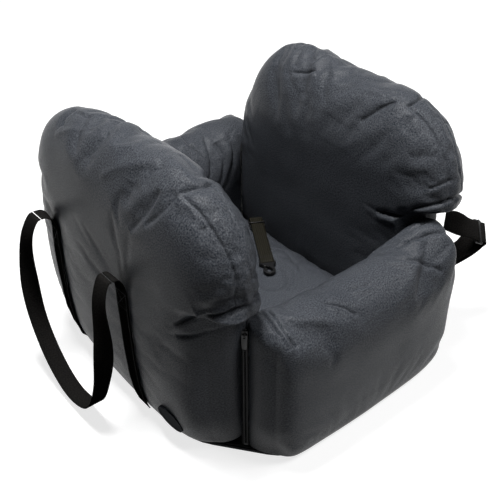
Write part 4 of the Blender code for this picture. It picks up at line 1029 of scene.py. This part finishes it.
def make_handle(side):
    """Strips and loop of one carry handle.

    crown_steps are shares of the way out and up where a strip bends over. loop_steps are, as shares,
    how far out, how far along from front to back and how far down the loop hangs at each point.
    """
    hand = "left" if side < 0 else "right"
    level = np.array((0.0, 1.0, 0.0))
    out = np.array((side * handle_stand_off, 0, 0))
    crowns = {}
    widest = max(abs(strap_runs[(side, label)][0][0][0]) for label in handle_places)
    crown_x = side * widest + out[0] * 0.34
    for label in handle_places:
        run, flat = strap_runs[(side, label)]
        top = run[0]
        rise = [top + np.array(((crown_x - top[0]) * a, 0, handle_crown * b)) for a, b in crown_steps]
        crowns[label] = rise[-1] + np.array((side * (webbing_thick + clearance), 0, 0))
        route = np.vstack([rise[::-1], run])
        across = np.vstack([[level] * 2, [flat[0]] * (len(rise) - 2), flat])
        strip = webbing(f"{hand}_{label}_strip", route, across, handle_webbing, webbing_thick, 5,
                        black_webbing)
        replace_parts(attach(strip, "seat"), f"{hand}_handle_{label}_strip")
        sew_strip(f"{hand}_{label}_strip_stitches", run, flat, side)
    span = crowns["back"][1] - crowns["front"][1]
    high = crowns["back"][2]
    drop = high - loop_floor_gap
    far_x = strap_runs[(side, "back")][0][0][0]
    route = [crowns["back"]]
    for step_out, share, fall in loop_steps:
        hanging = np.array((far_x, crowns["front"][1] + span * share, high - drop * fall))
        route.append(hanging + out * step_out)
    route.append(crowns["front"])
    thick = np.array((side, 0.0, 0.0))
    across = [level * (1 - share) + thick * share for share in loop_turns]
    loop = webbing(f"{hand}_handle_hanging_loop", route, across, handle_webbing, webbing_thick, 9,
                   black_webbing)
    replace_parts(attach(loop, f"{hand}_loop"), f"{hand}_handle_loop")


def sew_strip(name, run, flat, side):
    """Rows of stitches along both edges of a strip and a crossed box at its top."""
    path = smooth_path(run, 8)
    wide = smooth_path(flat, 8, even=True)
    length = lengths_along(path)
    edge, box_top, box_foot = 0.84, 0.004, 0.034
    pitch, stitch, box_count = 0.0042, 0.0029, 9
    rows = []

    def along(distance, line):
        return np.array([np.interp(distance, length, line[:, k]) for k in range(3)])

    def at(distance, share):
        spot, way = along(distance, path), along(distance, wide)
        up = np.cross(way, along(distance + 0.002, path) - spot)
        up /= np.linalg.norm(up)
        up *= np.sign(up[0] * side) or 1.0
        return spot + way * share * handle_webbing / 2 + up * (webbing_thick / 2 + 0.00005), up

    for share in (-edge, edge):
        for distance in np.arange(box_top, length[-1] - 0.01, pitch):
            a, up = at(distance, share)
            rows.append((a, at(distance + stitch, share)[0], up))
    for first, last in (((box_top, -edge), (box_foot, edge)), ((box_top, edge), (box_foot, -edge)),
                        ((box_top, -edge), (box_top, edge)), ((box_foot, -edge), (box_foot, edge))):
        for k in range(box_count):
            (a, up), (b, _) = [at(*(p + (q - p) * share for p, q in zip(first, last)))
                               for share in (k / box_count, (k + 0.7) / box_count)]
            rows.append((a, b, up))
    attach(stitches(name, rows), "seat")


for side in (-1, 1):
    make_handle(side)
print("handles made")

# %% [markdown]
# ## The anchor strap
#
# At the right front corner a wider strap leaves the wing's seam, passes a three-bar buckle and comes
# back as a loop whose two ends are sewn low on the wing. A belt of the car passes through that loop.

# %% Anchor strap, loop
def unit(vector):
    """A vector of length one."""
    vector = np.asarray(vector, float)
    return vector / np.linalg.norm(vector)


anchor_webbing = 0.038
upright = np.array((0.0, 0.0, 1.0))
spot, normal = map(np.array, wing_face(1, -0.215, 0.236))
low_spot, low_normal = map(np.array, wing_face(1, -0.189, 0.126))
anchor_start = spot + normal * (skin + clearance * 3)
buckle_place = anchor_start + np.array((0.076, -0.022, -0.042))
run_way = unit(buckle_place - anchor_start)
tilt = np.array((0.47, 0.62, 0.63))
tilt = unit(tilt - run_way * (tilt @ run_way))
rise_way = unit(upright - normal * (normal @ upright))
root = anchor_start + normal * 0.0084
route = [anchor_start, root, root + (buckle_place - root) * 0.34, root + (buckle_place - root) * 0.66,
         buckle_place - run_way * 0.006, buckle_place + run_way * 0.0031]
across = [rise_way, rise_way, rise_way * 0.6 + tilt * 0.4, tilt, tilt, tilt]
strap = webbing("anchor_strap_webbing", route, across, anchor_webbing, webbing_thick, 8, black_webbing)
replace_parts(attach(strap, "anchor"), "anchor_strap")

# The loop wraps the buckle's bar, half 1.3 by 1.1 mm, and both its strands end low on the wing
half_bar, half_plate = 0.0013, 0.0011
face_way = unit(np.cross(run_way, tilt))
bar = buckle_place + run_way * 0.0086 - face_way * (webbing_thick / 2 + clearance + half_plate)
wrap = math.hypot(half_bar, half_plate) + skin + clearance * 2
ring = [bar + run_way * math.cos(math.radians(d)) * wrap + face_way * math.sin(math.radians(d)) * wrap
        for d in range(90, 271, 20)]
foot = low_spot + low_normal * (skin + webbing_thick)
scale = np.linalg.norm(foot - bar)
strand_steps = {
    "outer": [(0.064, 0.030, 0.000), (0.130, -0.035, -0.004), (0.125, -0.190, -0.050),
              (0.020, -0.380, -0.190)],
    "inner": [(0.036, -0.036, 0.000), (0.062, -0.110, -0.002), (0.045, -0.230, -0.050),
              (-0.060, -0.350, -0.180)]}
strands = {}
for label, end in (("outer", foot - upright * webbing_thick * 4), ("inner", foot)):
    strands[label] = [bar + (run_way * on + face_way * off + tilt * down) * scale
                      for on, off, down in strand_steps[label]] + [end + low_normal * 0.024, end]
along_wing = unit(np.cross(upright, low_normal))
turn_in = [tilt + (along_wing - tilt) * share for share in (0.0, 0.0, 0.1, 0.4, 0.8, 1.0)]
loop = webbing("anchor_loop_webbing", strands["outer"][::-1] + ring + strands["inner"],
               turn_in[::-1] + [tilt] * len(ring) + turn_in,
               anchor_webbing - clearance * 4, webbing_thick, 6, black_webbing)
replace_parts(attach(loop, "anchor"), "anchor_loop")
print("anchor strap", np.round(anchor_start, 3), "buckle", np.round(buckle_place, 3))

# %% [markdown]
# ## The safety tether
#
# The tether is sewn at the back of the cushion, runs through a three-bar buckle, wraps the bar of a
# snap hook and is sewn back on itself. Its webbing is ribbed, so its map is wider across.

# %% Tether webbing
hook_bar = np.array((0.03781, -0.01307, 0.14082))
tether_wrap = math.hypot(0.003, 0.003) / 2 + clearance + webbing_thick / 2
tether_start = tether_root + upright * (cushion_top + tether_wrap + webbing_thick / 2 + clearance * 2)
pad_tree = tree_of(merged_copy("seat_cushion"))
first = tether_start - tether_along * 0.0136
route = []
for share in (0.0, 0.2, 0.4, 0.6, 0.8):
    point = first + (tether_start - first) * share
    tops = [pad_tree.ray_cast(Vector(point + tether_wide * tether_width * edge + upright * 0.4),
                              Vector((0, 0, -1)))[0].z for edge in (-0.5, 0, 0.5)]
    point[2] = max(tops) + webbing_thick / 2 + clearance * 4
    route.append(point)
route += [tether_start + tether_along * tether_length * share + upright * tether_wrap
          for share in (0, 0.03, 0.06, 0.3, 0.6, 0.9)]
for degrees in (90, 45, 0, -45, -90):
    bend = math.radians(degrees)
    route.append(hook_bar + tether_along * math.cos(bend) * tether_wrap
                 + upright * math.sin(bend) * tether_wrap)
tuck = tether_wrap - webbing_thick - clearance * 2
fold_back = 0.034
route += [hook_bar - tether_along * fold_back * back + upright * tuck * up
          for back, up in ((0.35, 0.2), (0.6, 1.0), (1.0, 1.0))]
tether = webbing("tether_webbing", route, [tether_wide] * len(route), tether_width, webbing_thick, 5,
                 ribbed_webbing)
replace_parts(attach(tether, "tether"), "tether_strap")

# Two rows of stitches across the fold, and one down each edge
rows = []
top = hook_bar + upright * (tether_wrap + webbing_thick / 2 + 0.0001)
edge = 0.0105
for row in (0.008, 0.012):
    for k in range(7):
        a = top - tether_along * row + tether_wide * (-edge + k * 0.0031)
        rows.append((a, a + tether_wide * 0.0022, upright))
for place in (-edge, edge):
    for k in range(6):
        a = top - tether_along * (0.008 + k * 0.0042) + tether_wide * place
        rows.append((a, a - tether_along * 0.003, upright))
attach(stitches("tether_stitches", rows), "tether")
print("tether from", np.round(route[0], 3), "to", np.round(hook_bar, 3))

# %% [markdown]
# ## Metal parts
#
# The buckles, the snap hook and the zip's slider and pull are cast or stamped, so their edges are
# never sharp. A copy of each solid gets a small bevel that catches the light.

# %% Soft edges on hard pieces
def eased(name, body, width=0.00025):
    """A copy of a solid with bevelled edges and smooth faces, in its place and riding its body."""
    mesh = merged_copy(name)
    piece = new_piece(f"{name}_eased", mesh, black_metal)
    mesh.shade_flat()
    edge = piece.modifiers.new("eased edges", "BEVEL")
    edge.width = width
    edge.segments = 2
    edge.limit_method = "ANGLE"
    edge.angle_limit = math.radians(32.0)
    edge.harden_normals = True
    edge.use_clamp_overlap = True
    settled(piece)
    piece.data.shade_smooth()
    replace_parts(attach(piece, body), name)


eased("anchor_buckle", "anchor", 0.0004)
eased("tether_buckle", "tether_buckle", 0.0004)
eased("hook_body", "hook", 0.0005)
for hand in ("left", "right"):
    eased(f"{hand}_zip_slider", f"{hand}_slider")
    eased(f"{hand}_zip_pull", f"{hand}_pull")

# %% Finishes for the solids that stay
kept = {
    "base_panel": base_cloth, "base_welt": base_cloth, "floor_board": grey_board, "floor_foam": foam_block,
    "hook_gate": black_metal, "hook_pin": steel, "hook_spring": steel, "round_patch": patch_rubber}
for hand in ("left", "right"):
    for owner in ("front", "wing"):
        kept[f"{hand}_zip_{owner}_tape"] = tape_cloth
        kept[f"{hand}_zip_{owner}_teeth"] = coil_nylon
    kept[f"{hand}_zip_bottom_stop"] = black_metal
for name, material in kept.items():
    for place in nodes[name].material_slots:
        place.material = material
print("solids kept", len(kept))

# %% [markdown]
# ## Riding the frame
#
# Every soft piece follows a body of the solid model: the front wall swings with its hinge, and the others
# stay with the seat.

# %% Bodies
for piece, body, fill in ((wings[-1], "seat", 0.75), (wings[1], "seat", 0.75), (back_wall, "seat", 0.7),
                          (front_wall, "front", 0.7), (cushion, "seat", 0.6)):
    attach(piece, body)

# %% [markdown]
# ## Light, floor and camera
#
# The photograph is a cut-out on white with a soft shadow to the lower right, lit softly from above.
# Two square lamps give that light, one overhead and one high in front, and the sky is nearly black.
# The floor and a low ring round it look white only to rays from the camera and to rays that mirror
# or pass through. To the soft light that bounces onto the seat the floor is a dim grey without a
# glow, so only what shines on the seat picks up its white.
# The camera's place was worked out from the outline of the object in the photograph.

# %% Floor and light
def stage_material(name, dim, shown, glow):
    """A matt grey that camera, glossy and transmission rays see as shown, with a glow of its own.

    Other rays see it as dim and without the glow. The glow grows to 1, which is white, between 0.8 and
    3.8 m from the middle, where the lamps fade.
    """
    glow_from, glow_over = 0.8, 3.0
    made, tree, shader = fresh_material(name)
    seen = tree.nodes.new("ShaderNodeLightPath")
    direct = math_node(tree, "MAXIMUM", seen.outputs["Is Camera Ray"], seen.outputs["Is Glossy Ray"])
    direct = math_node(tree, "MAXIMUM", direct, seen.outputs["Is Transmission Ray"])
    tree.links.new(mixed_colour(tree, direct, (dim,) * 3, (shown,) * 3), shader.inputs["Base Color"])
    shader.inputs["Emission Color"].default_value = (1, 1, 1, 1)
    spot = tree.nodes.new("ShaderNodeTexCoord")
    distance = tree.nodes.new("ShaderNodeVectorMath")
    distance.operation = "LENGTH"
    tree.links.new(spot.outputs["Object"], distance.inputs[0])
    far = math_node(tree, "MULTIPLY_ADD", distance.outputs["Value"], 1 / glow_over, -glow_from / glow_over)
    far.node.use_clamp = True
    level = math_node(tree, "MULTIPLY_ADD", far, 1 - glow, glow)
    tree.links.new(math_node(tree, "MULTIPLY", direct, level), shader.inputs["Emission Strength"])
    shader.inputs["Roughness"].default_value = 0.9
    shader.inputs["Specular IOR Level"].default_value = 0.0
    return made


def stage_rings(name, rings, material):
    """A flat or rising ring round the object: each ring is a radius and a height."""
    steps = 96
    turns = np.arange(steps) * 2 * math.pi / steps
    points = [(radius * math.cos(t), radius * math.sin(t), height) for radius, height in rings for t in turns]
    faces = [(k, (k + 1) % steps, (k + 1) % steps + steps, k + steps) for k in range(steps)]
    if len(rings) == 1:
        faces = [tuple(range(steps))]
    mesh = bpy.data.meshes.new(name)
    mesh.from_pydata(points, [], faces)
    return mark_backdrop(new_piece(name, mesh, material))


stage_rings("floor", [(6.0, 0.0)], stage_material("pale_floor", 0.10, 0.45, 0.765))
stage_rings("backdrop", [(6.0, 0.0), (6.6, 2.6)], stage_material("pale_backdrop", 0.0, 0.0, 1.0))

world = bpy.data.worlds.new("surround")
scene.world = world
world.use_nodes = True
sky = world.node_tree.nodes["Background"]
sky.inputs[0].default_value = (1.0, 1.0, 1.0, 1)
sky.inputs[1].default_value = 0.03


def soft_lamp(name, place, size, power):
    """A square area lamp at a place, turned to the middle of the seat."""
    lamp = bpy.data.lights.new(name, "AREA")
    lamp.size = size
    lamp.energy = power
    holder = bpy.data.objects.new(name, lamp)
    scene.collection.objects.link(holder)
    holder.location = place
    holder.rotation_euler = (Vector((0.0, 0.0, 0.2)) - Vector(place)).to_track_quat("-Z", "Y").to_euler()


soft_lamp("overhead", (-0.25, 0.05, 2.2), 0.45, 62)
soft_lamp("front_high", (0.55, -1.25, 2.1), 0.6, 26)

# %% Camera
lens = bpy.data.cameras.new("camera")
lens.lens = 57.6
lens.sensor_width = 36
camera = bpy.data.objects.new("camera", lens)
scene.collection.objects.link(camera)
right_way = Vector((0.7710, -0.6368, 0)).normalized()
view_way = Vector((0.5217, 0.6317, -0.5733)).normalized()
up_way = right_way.cross(view_way).normalized()
turned = Matrix((right_way, up_way, -view_way)).transposed().to_4x4()
camera.matrix_world = Matrix.Translation((-0.726, -0.890, 0.980)) @ turned
lens.clip_start = 0.05
scene.camera = camera
scene.view_settings.view_transform = "Standard"
